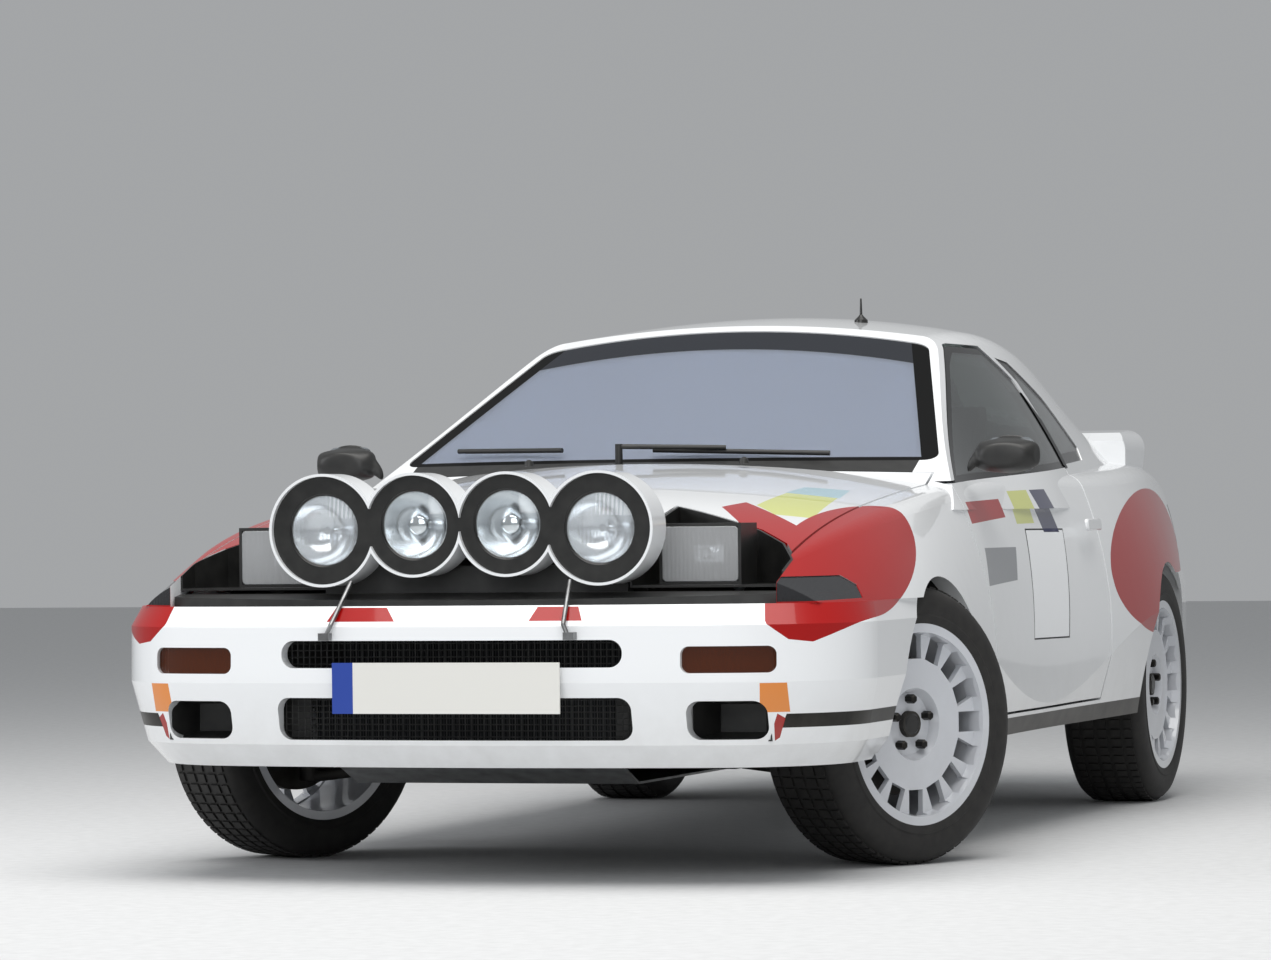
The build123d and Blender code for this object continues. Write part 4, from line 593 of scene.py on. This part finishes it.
def woven(name, colour, thread_mm, accent):
    """Knitted cloth: two crossing ripples as wide as its threads, with a soft sheen."""
    material, tree, shader = new_material(name, roughness=0.9, sheen_weight=0.35, sheen_roughness=0.5)
    points = object_points(tree, thread_mm)
    over, under = [add_node(tree, "ShaderNodeTexWave", {"Vector": points, "Scale": 0.5},
                            bands_direction=way)[WAVE_HEIGHT] for way in "XZ"]
    weave = add_node(tree, "ShaderNodeMath", {0: over, 1: under}, operation="MULTIPLY")[0]
    colour = add_node(tree, "ShaderNodeMix", {"Factor": weave, MIX_A: colour, MIX_B: accent},
                      data_type="RGBA")
    tree.links.new(colour[MIX_COLOUR], shader.inputs["Base Color"])
    emboss(tree, shader, weave, 0.5, 0.6)
    return material


def plate_sheet():
    """White reflective sheet with a blue band at the car's right-hand end."""
    material, tree, shader = new_material("reflective_plate_sheet", roughness=0.35, coat_weight=0.4)
    x = add_node(tree, "ShaderNodeSeparateXYZ", {"Vector": object_points(tree, 1.0)})["X"]
    band = add_node(tree, "ShaderNodeMath", {0: x, 1: BLUE_BAND_MM}, operation="LESS_THAN")[0]
    colour = add_node(tree, "ShaderNodeMix", {"Factor": band, MIX_A: "#DEDDD8", MIX_B: "#1D3F9A"},
                      data_type="RGBA")
    tree.links.new(colour[MIX_COLOUR], shader.inputs["Base Color"])
    grain(tree, shader, 1.5, 0.1, 0.05)
    return material


seat_cloth = woven("black_seat_knit", "#0C0D10", 3.0, "#2A2C31")
belt_web = woven("red_harness_webbing", "#7E1413", 2.5, "#B02A26")
grip_suede = woven("black_suede", "#101012", 1.5, "#24242A")
dash_flock = woven("grey_dash_flock", "#141518", 1.0, "#2B2D31")
shell_finish = moulded("black_gel_coat", "#0A0A0B", 0.35, 5.0, 0.1)
number_sheet = plate_sheet()
floor.data.materials.append(moulded("pale_studio_floor", "#D6D7D8", 0.8, 6.0, 0.1))
print("all finishes ready:", len(bpy.data.materials))

# %% [markdown]
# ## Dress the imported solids
# Most panels already have the right shape, so they keep their solids and get a finish by name.

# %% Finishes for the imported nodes
CORNERS = ("front_left", "front_right", "rear_left", "rear_right")
FINISHES = [
    (white_enamel, ["rear_bumper", "roof_panel", "hatch", "rear_wing", "lamp_pod", "floor_pan", "firewall"]),
    (side_paint, ["body_side_left", "body_side_right"]),
    (front_paint, ["front_fender_left", "front_fender_right"]),
    (bumper_paint, ["front_bumper"]),
    (hood_paint, ["hood"]),
    (door_paint, ["door_left", "door_right"]),
    (cage_enamel, ["roll_cage", "front_rails"]),
    (black_abs, ["cowl_panel", "nose_panel", "tail_panel", "wipers", "mirror_left", "mirror_right"]),
    (satin_black, ["pod_face", "headlamp_bays"]),
    (liner_plastic, ["wheel_arch_liners"]),
    (flap_rubber, ["mud_flaps"]),
    (windscreen_material, ["windscreen"]),
    (door_glass, ["door_glass_left", "door_glass_right"]),
    (quarter_glass, ["quarter_glass"]),
    (clear_glass, ["hatch_glass"]),
    (amber_lens, ["bumper_lamps"]),
    (red_lens, ["tail_lamps"]),
    (smoked_lens, ["corner_lamps"]),
    (chrome, ["driving_lamps", "headlamps"]),
    (number_sheet, ["number_plate"]),
    (radiator_fins, ["radiator"]),
    (cast_iron, ["engine_block", "front_knuckle_left", "front_knuckle_right"]),
    (chassis_steel, ["front_suspension", "rear_suspension"]),
    (bare_aluminium, ["sump_guard", "pod_stays"]),
    (exhaust_steel, ["exhaust"]),
    (shell_finish, ["seats"]),
    (dash_flock, ["dashboard"]),
    (grip_suede, ["steering_wheel"]),
    (wheel_paint, [f"wheel_{corner}" for corner in CORNERS]),
    (tyre_material, [f"tyre_{corner}" for corner in CORNERS]),
]
dressed = set()
for finish, names in FINISHES:
    for name in names:
        nodes[name].data.materials.clear()
        nodes[name].data.materials.append(finish)
        dressed.add(name)
print("nodes without a finish:", sorted(set(nodes) - dressed))

# %% [markdown]
# ## Ways of working
# Every piece below starts from one of Blender's primitives and is shaped in edit mode, as by hand.
# Since an operator acts on all that is selected, each one begins with nothing selected, and faces
# are then picked by where they lie or which way they look.

# %% Helpers that start and pick
SIDES = (("left", 1), ("right", -1))
UP = Vector((0, 0, 1))


def start_fresh():
    """Leaves edit mode with nothing selected."""
    if bpy.context.object and bpy.context.object.mode != "OBJECT":
        bpy.ops.object.mode_set(mode="OBJECT")
    bpy.ops.object.select_all(action="DESELECT")


def sized(size):
    """Gives the new primitive its size, and puts its size and place into its mesh."""
    piece = bpy.context.object
    piece.scale = size
    bpy.ops.object.transform_apply(location=True, rotation=False, scale=True)
    return piece


def block(place, size):
    """A box of a size at a place, ready to be shaped."""
    start_fresh()
    bpy.ops.mesh.primitive_cube_add(size=1, location=place)
    return sized(size)


def copy_of(piece):
    """A copy with its own mesh, selected alone."""
    start_fresh()
    piece.select_set(True)
    bpy.context.view_layer.objects.active = piece
    bpy.ops.object.duplicate(linked=False)
    return bpy.context.object


def pick_faces(piece, test):
    """Selects, in edit mode, the faces whose middle and normal pass a test."""
    bpy.ops.object.mode_set(mode="OBJECT")
    bpy.context.scene.tool_settings.mesh_select_mode = (False, False, True)
    for part in (piece.data.vertices, piece.data.edges):
        part.foreach_set("select", [False] * len(part))
    picked = [bool(test(face.center, face.normal)) for face in piece.data.polygons]
    piece.data.polygons.foreach_set("select", picked)
    bpy.ops.object.mode_set(mode="EDIT")
    return sum(picked)


def pull(step):
    """Pulls the picked faces out of the piece, or pushes them into it, with new walls behind them."""
    bpy.ops.mesh.extrude_region_move(TRANSFORM_OT_translate={"value": step})


print("helpers to start and pick ready")

# %% Helpers that draw and finish
def draw_line(points):
    """Pulls one corner from point to point; the piece stays in edit mode."""
    start_fresh()
    bpy.ops.mesh.primitive_plane_add(size=0.01, location=(0, 0, 0))
    piece = bpy.context.object
    bpy.ops.object.mode_set(mode="EDIT")
    bpy.ops.mesh.select_mode(type="VERT")
    bpy.ops.mesh.select_all(action="SELECT")
    bpy.ops.mesh.merge(type="CENTER")
    bpy.ops.transform.translate(value=points[0])
    for here, there in zip(points, points[1:]):
        step = Vector(there) - Vector(here)
        bpy.ops.mesh.extrude_vertices_move(TRANSFORM_OT_translate={"value": step})
    return piece


def turned(section, place, axis, radial, steps):
    """Spins a section of (radius, way along the axis) points into a closed form."""
    middle, along, across = Vector(place), Vector(axis), Vector(radial)
    piece = draw_line([middle + across * radius + along * way for radius, way in section])
    bpy.ops.mesh.select_all(action="SELECT")
    bpy.ops.mesh.spin(steps=steps, angle=2 * pi, center=place, axis=axis)
    bpy.ops.mesh.select_all(action="SELECT")
    bpy.ops.mesh.remove_doubles(threshold=0.00005)
    bpy.ops.mesh.normals_make_consistent(inside=False)
    return piece


def modified(piece, kind, **settings):
    """Leaves edit mode, gives the piece a modifier with its settings, and applies it."""
    bpy.ops.object.mode_set(mode="OBJECT")
    modifier = piece.modifiers.new(kind.lower(), kind)
    for key, value in settings.items():
        setattr(modifier, key, value)
    bpy.ops.object.modifier_apply(modifier=modifier.name)


def done(piece, name, material, body, smooth=30):
    """Leaves edit mode, puts the place into the mesh, names and dresses the piece."""
    bpy.ops.object.mode_set(mode="OBJECT")
    bpy.ops.object.transform_apply(location=True, rotation=True, scale=True)
    piece.name = piece.data.name = name
    if material:
        piece.data.materials.clear()
        piece.data.materials.append(material)
    bpy.ops.object.shade_smooth_by_angle(angle=radians(smooth))
    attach(piece, body)
    return piece


print("helpers to draw and finish ready")

# %% A flat plate with round corners
def stood(place, facing):
    """The turn and place that stand a flat piece upright, looking the given way."""
    out = Vector(facing).normalized()
    across = UP.cross(out).normalized()
    return Matrix.Translation(place) @ Matrix((across, out.cross(across), out)).transposed().to_4x4()


def flat_plate(name, place, facing, size, corner, thick, finish, body, edge=0.0015):
    """A plane whose corners are bevelled, pulled to its thickness and given a soft edge."""
    start_fresh()
    bpy.ops.mesh.primitive_plane_add(size=1, location=(0, 0, 0))
    piece = sized((*size, 1))
    bpy.ops.object.mode_set(mode="EDIT")
    bpy.ops.mesh.select_mode(type="VERT")
    bpy.ops.mesh.select_all(action="SELECT")
    bpy.ops.mesh.bevel(offset=corner, segments=4, affect="VERTICES")
    bpy.ops.mesh.select_mode(type="FACE")
    bpy.ops.mesh.select_all(action="SELECT")
    pull((0, 0, thick))
    bpy.ops.mesh.inset(thickness=edge)
    bpy.ops.transform.translate(value=(0, 0, edge))
    bpy.ops.mesh.select_all(action="SELECT")
    bpy.ops.mesh.normals_make_consistent(inside=False)
    bpy.ops.object.mode_set(mode="OBJECT")
    piece.matrix_world = stood(place, facing)
    return done(piece, name, finish, body)


print("plate helper ready")

# %% [markdown]
# ## Tyres
# A tarmac tyre has a bulged wall with a raised ring, and a tread of blocks about 22 mm long with
# 6 mm grooves. The section is drawn once, spun in 72 steps, and each tread face is inset and pulled
# out, which leaves the grooves between the blocks. One tyre is made round its own X axis and copied
# to each wheel. The front wheels stand steered to the left, each a little outside its kingpin.

# %% Tyres with tread
WALL_SIDE = [(98, 217), (105, 226), (110, 238), (111.5, 246), (109.5, 250), (111, 264), (109, 282),
             (103, 297), (93, 307)]
TREAD_LINE = [(84, 311), (58, 312), (53, 312), (20, 312.5), (15, 312.5)]
HALF_TYRE = WALL_SIDE + TREAD_LINE
TYRE_LINE = HALF_TYRE + [(-way, radius) for way, radius in reversed(HALF_TYRE)] + HALF_TYRE[:1]
BLOCK_COLUMNS = [(58, 84), (20, 53), (-15, 15), (-53, -20), (-84, -58)]
TREAD_RADIUS = 0.309
GROOVE_HALF, GROOVE_DEEP = 0.003, 0.0045
TYRE_STEPS = 72
STEERED = radians(27)
KINGPIN_X, KINGPIN_Y, KINGPIN_TO_WHEEL = 0.690, -1.262, 0.045
REAR_WHEEL_X, REAR_WHEEL_Y = 0.705, 1.263
HUB_Z = 0.317
WHEELS = {}
for side_name, sign in SIDES:
    outward = sign * Vector((cos(STEERED), -sin(STEERED), 0))
    kingpin = Vector((sign * KINGPIN_X, KINGPIN_Y, HUB_Z))
    WHEELS[f"front_{side_name}"] = (kingpin + outward * KINGPIN_TO_WHEEL, outward)
for side_name, sign in SIDES:
    WHEELS[f"rear_{side_name}"] = (Vector((sign * REAR_WHEEL_X, REAR_WHEEL_Y, HUB_Z)), Vector((sign, 0, 0)))


def on_a_block(middle, normal):
    """Whether a face of the bare tyre, by its middle, becomes a block of the tread."""
    return Vector((middle.y, middle.z)).length > TREAD_RADIUS and any(
        low < middle.x * METRE < high for low, high in BLOCK_COLUMNS)


def on_wheel(piece, centre, outward):
    """Puts a piece made round its own X axis onto a wheel, with X looking outwards."""
    turn = Matrix((outward, UP.cross(outward), UP)).transposed()
    piece.matrix_world = Matrix.Translation(centre) @ turn.to_4x4()


tyre_section = [(radius / METRE, way / METRE) for way, radius in TYRE_LINE]
bare_tyre = turned(tyre_section, (0, 0, 0), (1, 0, 0), UP, TYRE_STEPS)
tread_blocks = pick_faces(bare_tyre, on_a_block)
bpy.ops.mesh.inset(thickness=GROOVE_HALF, use_individual=True)
bpy.ops.mesh.extrude_region_shrink_fatten(TRANSFORM_OT_shrink_fatten={"value": GROOVE_DEEP})
for name, (centre, outward) in WHEELS.items():
    tyre = copy_of(bare_tyre)
    on_wheel(tyre, centre, outward)
    done(tyre, f"tyre_{name}_treaded", tyre_material, f"spin_{name}")
    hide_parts(f"tyre_{name}")
bpy.data.objects.remove(bare_tyre)
print("four tyres with", tread_blocks, "tread blocks each")

# %% [markdown]
# ## Wheel nuts and centre caps
# Five hexagonal nuts on a 114.3 mm circle hold each wheel, with a dark turned cap in the middle.

# %% Nuts and caps
NUT_COUNT, NUT_CIRCLE, NUT_SEAT = 5, 0.05715, 0.062
NUT_RADIUS, NUT_HIGH, NUT_CHAMFER = 0.0105, 0.020, 0.003
CAP_SECTION = [(0, 0.078), (0.020, 0.078), (0.026, 0.074), (0.029, 0.063), (0, 0.0625)]

start_fresh()
bpy.ops.mesh.primitive_cylinder_add(vertices=6, radius=NUT_RADIUS, depth=NUT_HIGH, location=(0, 0, 0))
bare_nut = bpy.context.object
pick_faces(bare_nut, lambda middle, normal: normal.z > 0.9)
bpy.ops.mesh.inset(thickness=NUT_CHAMFER)
bpy.ops.transform.translate(value=(0, 0, NUT_CHAMFER))
bare_cap = turned(CAP_SECTION, (0, 0, 0), (1, 0, 0), UP, 24)
for name, (centre, outward) in WHEELS.items():
    across = outward.cross(UP)
    for i in range(NUT_COUNT):
        turn = 2 * pi * i / NUT_COUNT
        nut = copy_of(bare_nut)
        seat_place = centre + (UP * cos(turn) + across * sin(turn)) * NUT_CIRCLE + outward * NUT_SEAT
        nut.matrix_world = (Matrix.Translation(seat_place + outward * NUT_HIGH / 2)
                            @ outward.to_track_quat("Z", "Y").to_matrix().to_4x4())
        done(nut, f"wheel_nut_{name}_{i + 1}", nut_steel, f"spin_{name}")
    cap = copy_of(bare_cap)
    on_wheel(cap, centre, outward)
    done(cap, f"centre_cap_{name}", satin_black, f"spin_{name}")
bpy.data.objects.remove(bare_nut)
bpy.data.objects.remove(bare_cap)
print(NUT_COUNT * len(WHEELS), "nuts and", len(WHEELS), "caps made")

# %% [markdown]
# ## Driving lamps
# Each big lamp is a pressed bowl, plated inside, behind a domed glass in a black ring. All three are
# lathe work: half a section is drawn in the lamp's own plane and spun about the lamp's axis. A small
# shield stands before the bulb; on the inner pair it is a round cup. The outer pair has fluted glass.

# %% Driving lamps on the pod
OUTER_LAMP = {"z": 0.771, "radius": 0.080, "shield": 0.011, "glass": lamp_lens}
INNER_LAMP = {"z": 0.781, "radius": 0.077, "shield": 0.020, "glass": clear_lens}
POD_LAMPS = [(-0.3175, OUTER_LAMP), (-0.107, INNER_LAMP), (0.107, INNER_LAMP), (0.3175, OUTER_LAMP)]
LENS_Y = -2.090


def lamp_part(name, x, z, section, finish, steps=48):
    """Spins (radius, distance behind the lens plane) points about the lamp's axis."""
    part = turned(section, (x, LENS_Y, z), (0, 1, 0), (1, 0, 0), steps)
    return done(part, name, finish, "hood", 40)


for count, (x, lamp) in enumerate(POD_LAMPS, 1):
    r, z, cup = lamp["radius"], lamp["z"], lamp["shield"]
    bowl = lamp_part(f"lamp_bowl_{count}", x, z, [
        (r - 0.004, 0.004), (r - 0.006, 0.004), (r * 0.80, 0.022), (r * 0.55, 0.040), (r * 0.30, 0.051),
        (0.010, 0.055), (0, 0.055), (0, 0.059), (r * 0.6, 0.052), (r - 0.004, 0.030), (r - 0.004, 0.004)],
        chrome)
    lamp_part(f"lamp_ring_{count}", x, z, [
        (r + 0.010, 0.006), (r + 0.009, -0.001), (r + 0.002, -0.004), (r - 0.003, 0.000), (r - 0.003, 0.008),
        (r + 0.010, 0.008), (r + 0.010, 0.006)], satin_black)
    lamp_part(f"lamp_glass_{count}", x, z, [
        (0, -0.008), (r * 0.35, -0.0070), (r * 0.7, -0.0040), (r - 0.004, 0.0005), (r - 0.004, 0.003),
        (r * 0.7, -0.001), (r * 0.35, -0.004), (0, -0.005)], lamp["glass"])
    lamp_part(f"bulb_shield_{count}", x, z, [
        (0, 0.014), (cup * 0.8, 0.0145), (cup, 0.018), (cup, 0.030), (cup - 0.003, 0.030),
        (cup - 0.003, 0.020), (0.004, 0.018), (0.004, 0.0545), (0, 0.0545)], chrome, 24)
    if count == 1:
        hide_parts("driving_lamps")
print("four driving lamps made")

# %% [markdown]
# ## Headlamps
# A rectangular headlamp is a black body with a deep plated recess behind ribbed glass. The body is a
# box whose front face is inset and pushed in, and the new faces are given the plating.

# %% Headlamps in their bays
HEADLAMP_X, HEADLAMP_Y, HEADLAMP_Z = 0.492, -1.872, 0.7115
HEADLAMP_SIZE = (0.186, 0.120, 0.133)
HEADLAMP_RECESS = [(0.028, (0.80, 1, 0.74)), (0.020, (0.50, 1, 0.42))]    # depth, and how much it closes in
GLASS_AHEAD = 0.054
BULB_CAP = [(0, 0.014), (0.010, 0.012), (0.013, 0.004), (0.013, -0.012), (0.008, -0.018), (0, -0.019)]


def headlamp(side_name, sign):
    """A body with its plated recess, its ribbed glass and the cap before its bulb."""
    middle = Vector((sign * HEADLAMP_X, HEADLAMP_Y, HEADLAMP_Z))
    body = block(middle, HEADLAMP_SIZE)
    body.data.materials.append(black_abs)
    body.data.materials.append(chrome)
    pick_faces(body, lambda place, normal: normal.y < -0.9)
    bpy.ops.mesh.inset(thickness=0.007)
    pull((0, 0.022, 0))
    body.active_material_index = 1
    bpy.ops.object.material_slot_assign()
    for depth, squeeze in HEADLAMP_RECESS:
        pull((0, depth, 0))
        bpy.ops.transform.resize(value=squeeze, center_override=middle)
    done(body, f"headlamp_body_{side_name}", None, "body", 20)
    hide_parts("headlamps")
    flat_plate(f"headlamp_glass_{side_name}", middle - Vector((0, GLASS_AHEAD, 0)), (0, -1, 0),
               size=(0.174, 0.121), corner=0.012, thick=0.005, finish=headlamp_lens, body="body",
               edge=0.002)
    cap = turned(BULB_CAP, middle, (0, 1, 0), (1, 0, 0), 20)
    done(cap, f"headlamp_bulb_cap_{side_name}", chrome, "body")


for side_name, sign in SIDES:
    headlamp(side_name, sign)
print("two headlamps made")

# %% [markdown]
# ## Behind the bumper's openings
# The two intakes have a black wire mesh behind them, and each outer hole leads into a black funnel
# for brake air. The mesh is a plane cut into a grid, of which the wireframe modifier keeps the
# strands; the funnel is a box whose front face is inset and pushed back. A small black plate behind
# each end of the lower intake is a dark sheet of painted shade, which keeps that end of the opening dark.

# %% Intake meshes, brake funnels and black plates of painted shade
MESH_CELLS, STRAND_THICK = 60, 0.003
FUNNEL_X, FUNNEL_Y, FUNNEL_Z = 0.606, -2.035, 0.3585


def intake_mesh(name, half, low, high, y):
    """A wire mesh from one side to the other, between two heights."""
    start_fresh()
    rows = round(MESH_CELLS * (high - low) / (2 * half))
    bpy.ops.mesh.primitive_grid_add(x_subdivisions=MESH_CELLS, y_subdivisions=rows, size=1,
                                    location=(0, 0, 0))
    mesh = sized((2 * half, high - low, 1))
    modified(mesh, "WIREFRAME", thickness=STRAND_THICK)
    mesh.matrix_world = stood((0, y, (low + high) / 2), (0, -1, 0))
    done(mesh, name, black_abs, "body")
    return len(mesh.data.polygons)


print("mesh faces:", intake_mesh("upper_intake_mesh", 0.41, 0.465, 0.540, -2.128),
      intake_mesh("lower_intake_mesh", 0.43, 0.308, 0.416, -2.118))
for side_name, sign in SIDES:
    middle = (sign * FUNNEL_X, FUNNEL_Y, FUNNEL_Z)
    funnel = block(middle, (0.176, 0.090, 0.092))
    pick_faces(funnel, lambda place, normal: normal.y < -0.9)
    bpy.ops.mesh.inset(thickness=0.003)
    pull((0, 0.084, 0))
    bpy.ops.transform.resize(value=(0.6, 1, 0.7), center_override=middle)
    done(funnel, f"brake_funnel_{side_name}", black_abs, "body")
    # A black plate behind the lower intake's end: a dark sheet that stands in for shade.
    flat_plate(f"intake_shade_plate_{side_name}", (sign * 0.41, -2.092, 0.362), (0, -1, 0), size=(0.12, 0.13),
               corner=0.010, thick=0.003, finish=black_abs, body="body")
print("two brake funnels and air guides made")

# %% [markdown]
# ## Mirrors and door handles
# A mirror's housing is a soft box on a short foot. Its glass faces the driver, so it is seen from
# behind only. The handles are thin flaps in the colour of the door.

# %% Mirror housings
MIRROR_PLACE, MIRROR_SIZE = (0.8465, -0.6, 0.931), (0.157, 0.080, 0.118)
mirror_silver, _, _ = new_material("silvered_mirror_glass", base_color="#C9CED2", metallic=1.0,
                                   roughness=0.02)


def mirrored(point, sign):
    """A point of the left side, or the same point on the right one."""
    return (sign * point[0], point[1], point[2])


def drawn_in(shell, looks, amount, middle):
    """Makes the end that looks a given way smaller about a middle."""
    pick_faces(shell, lambda place, normal: normal.dot(Vector(looks)) > 0.8)
    bpy.ops.transform.resize(value=amount, center_override=middle)


def mirror_housing(side_name, sign):
    """A box whose ends are drawn in, with a short foot, softened by subdivision."""
    shell = block(mirrored(MIRROR_PLACE, sign), MIRROR_SIZE)
    pick_faces(shell, lambda place, normal: normal.y > 0.9)
    bpy.ops.mesh.inset(thickness=0.006)
    bpy.ops.mesh.inset(thickness=0.003, depth=-0.004)
    pick_faces(shell, lambda place, normal: normal.y < -0.9)
    bpy.ops.transform.resize(value=(0.86, 1, 0.80), center_override=mirrored((0.835, -0.6, 0.925), sign))
    bpy.ops.mesh.inset(thickness=0.018)
    drawn_in(shell, (sign, 0, 0), (1, 0.8, 0.72), mirrored((0.90, -0.59, 0.925), sign))
    bpy.ops.mesh.inset(thickness=0.020)
    drawn_in(shell, (-sign, 0, 0), (1, 0.8, 0.80), mirrored((0.78, -0.6, 0.915), sign))
    bpy.ops.mesh.inset(thickness=0.022)
    pull(mirrored((-0.028, 0.004, -0.030), sign))
    modified(shell, "SUBSURF", levels=3, render_levels=3)
    done(shell, f"mirror_housing_{side_name}", black_abs, f"door_{side_name}", 50)
    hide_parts(f"mirror_{side_name}")


for side_name, sign in SIDES:
    mirror_housing(side_name, sign)
    flat_plate(f"mirror_glass_{side_name}", mirrored((0.8465, -0.5652, 0.931), sign), (0, 1, 0),
               size=(0.118, 0.082), corner=0.022, thick=0.002, finish=mirror_silver, body=f"door_{side_name}")
    flat_plate(f"door_handle_{side_name}", mirrored((0.8235, 0.375, 0.757), sign), (sign, 0, 0.12),
               size=(0.150, 0.030), corner=0.010, thick=0.006, finish=white_enamel, body=f"door_{side_name}",
               edge=0.003)
print("two mirrors and handles made")

# %% [markdown]
# ## Aerial and washer jets
# The aerial is a short rod on a round foot, and the washer jets are small black domes on the hood.
# Both are turned about an upright axis.

# %% Aerial and washer jets
AERIAL_PLACE = (0.254, 0.24, 1.279)
AERIAL_SECTION = [(0, 0), (0.018, 0), (0.017, 0.011), (0.0075, 0.020), (0.0035, 0.025), (0.0022, 0.066),
                  (0, 0.067)]
JET_PLACE = (0.27, -0.865, 0.922)
JET_SECTION = [(0, -0.006), (0.012, -0.006), (0.010, 0.005), (0.004, 0.009), (0, 0.0095)]

aerial = turned(AERIAL_SECTION, AERIAL_PLACE, UP, (1, 0, 0), 20)
done(aerial, "roof_aerial", satin_black, "body")
for side_name, sign in SIDES:
    jet = turned(JET_SECTION, mirrored(JET_PLACE, sign), UP, (1, 0, 0), 16)
    done(jet, f"washer_jet_{side_name}", black_abs, "hood")
print("aerial and two washer jets made")

# %% [markdown]
# ## Door cards
# Inside, each door is closed by a thin card with a raised pad for the elbow. It shows when the door
# is open.

# %% Door cards
for side_name, sign in SIDES:
    flat_plate(f"door_card_{side_name}", (sign * 0.6978, -0.14, 0.58), (-sign, 0, 0), size=(1.02, 0.44),
               corner=0.05, thick=0.006, finish=dash_flock, body=f"door_{side_name}",
               edge=0.004)
    flat_plate(f"elbow_pad_{side_name}", (sign * 0.690, -0.10, 0.62), (-sign, 0, 0), size=(0.52, 0.09),
               corner=0.03, thick=0.020, finish=grip_suede, body=f"door_{side_name}",
               edge=0.008)
print("two door cards made")

# %% [markdown]
# ## Seat pads and harness
# A rally seat is a hard shell with loose pads of foam in knitted cloth. Each pad starts as a box,
# its faces are inset so that the subdivision keeps a firm edge, the middle is pushed out to a crown,
# and a sewn channel is pressed across it.

# %% Seat pads
SEAT_X = 0.35
PADS = {"squab": ((-0.095, 0.448), (0.312, 0.29, 0.036), -5),
        "back": ((0.088, 0.66), (0.312, 0.36, 0.036), 71)}


def seat_pad(name, x, middle, size, lean_deg):
    """A crowned pad: its middle as (y, z), its width, length and thickness, and how far it leans."""
    pad = block((0, 0, 0), size)
    pick_faces(pad, lambda place, normal: abs(normal.z) > 0.9)
    bpy.ops.mesh.inset(thickness=0.018, use_individual=True)
    pick_faces(pad, lambda place, normal: normal.z > 0.9 and abs(place.x) < size[0] * 0.3)
    bpy.ops.transform.translate(value=(0, 0, 0.010))
    bpy.ops.mesh.select_all(action="SELECT")
    bpy.ops.mesh.subdivide(number_cuts=3)
    pick_faces(pad, lambda place, normal: normal.z > 0.5 and abs(place.x) < size[0] * 0.36
               and abs(place.y) < size[1] * 0.36)
    for depth in (0, -0.005, 0.006):
        bpy.ops.mesh.inset(thickness=0.004, depth=depth)
    modified(pad, "SUBSURF", levels=2, render_levels=2)
    pad.matrix_world = Matrix.Translation((x, *middle)) @ Matrix.Rotation(radians(lean_deg), 4, "X")
    done(pad, name, seat_cloth, "body", 60)
    return len(pad.data.polygons)


for side_name, sign in SIDES:
    faces = [seat_pad(f"{part}_pad_{side_name}", sign * SEAT_X, *shape) for part, shape in PADS.items()]
    print("seat", side_name, "pads have", faces, "faces")

# %% [markdown]
# The shoulder belts are flat webbing 50 mm wide, modelled directly: a line is pulled from the hoop
# over the seat's back to the buckle, drawn out sideways and given 2 mm of thickness.

# %% Harness belts
BELT_WIDE, BELT_THICK, BELT_FROM_MIDDLE = 0.050, 0.002, 0.07
BELT_LINE = [(0.36, 0.640), (0.255, 1.072), (0.222, 1.075), (0.200, 1.00), (0.135, 0.80), (0.075, 0.62),
             (0.02, 0.50)]


def strap(name, x):
    """One belt, whose middle runs at x."""
    belt = draw_line([(x - BELT_WIDE / 2, y, z) for y, z in BELT_LINE])
    bpy.ops.mesh.select_all(action="SELECT")
    bpy.ops.mesh.extrude_edges_move(TRANSFORM_OT_translate={"value": (BELT_WIDE, 0, 0)})
    modified(belt, "SOLIDIFY", thickness=BELT_THICK, offset=0)
    done(belt, name, belt_web, "body", 50)


for side_name, sign in SIDES:
    strap(f"shoulder_belt_{side_name}_inner", sign * SEAT_X - BELT_FROM_MIDDLE)
    strap(f"shoulder_belt_{side_name}_outer", sign * SEAT_X + BELT_FROM_MIDDLE)
print("four shoulder belts made")
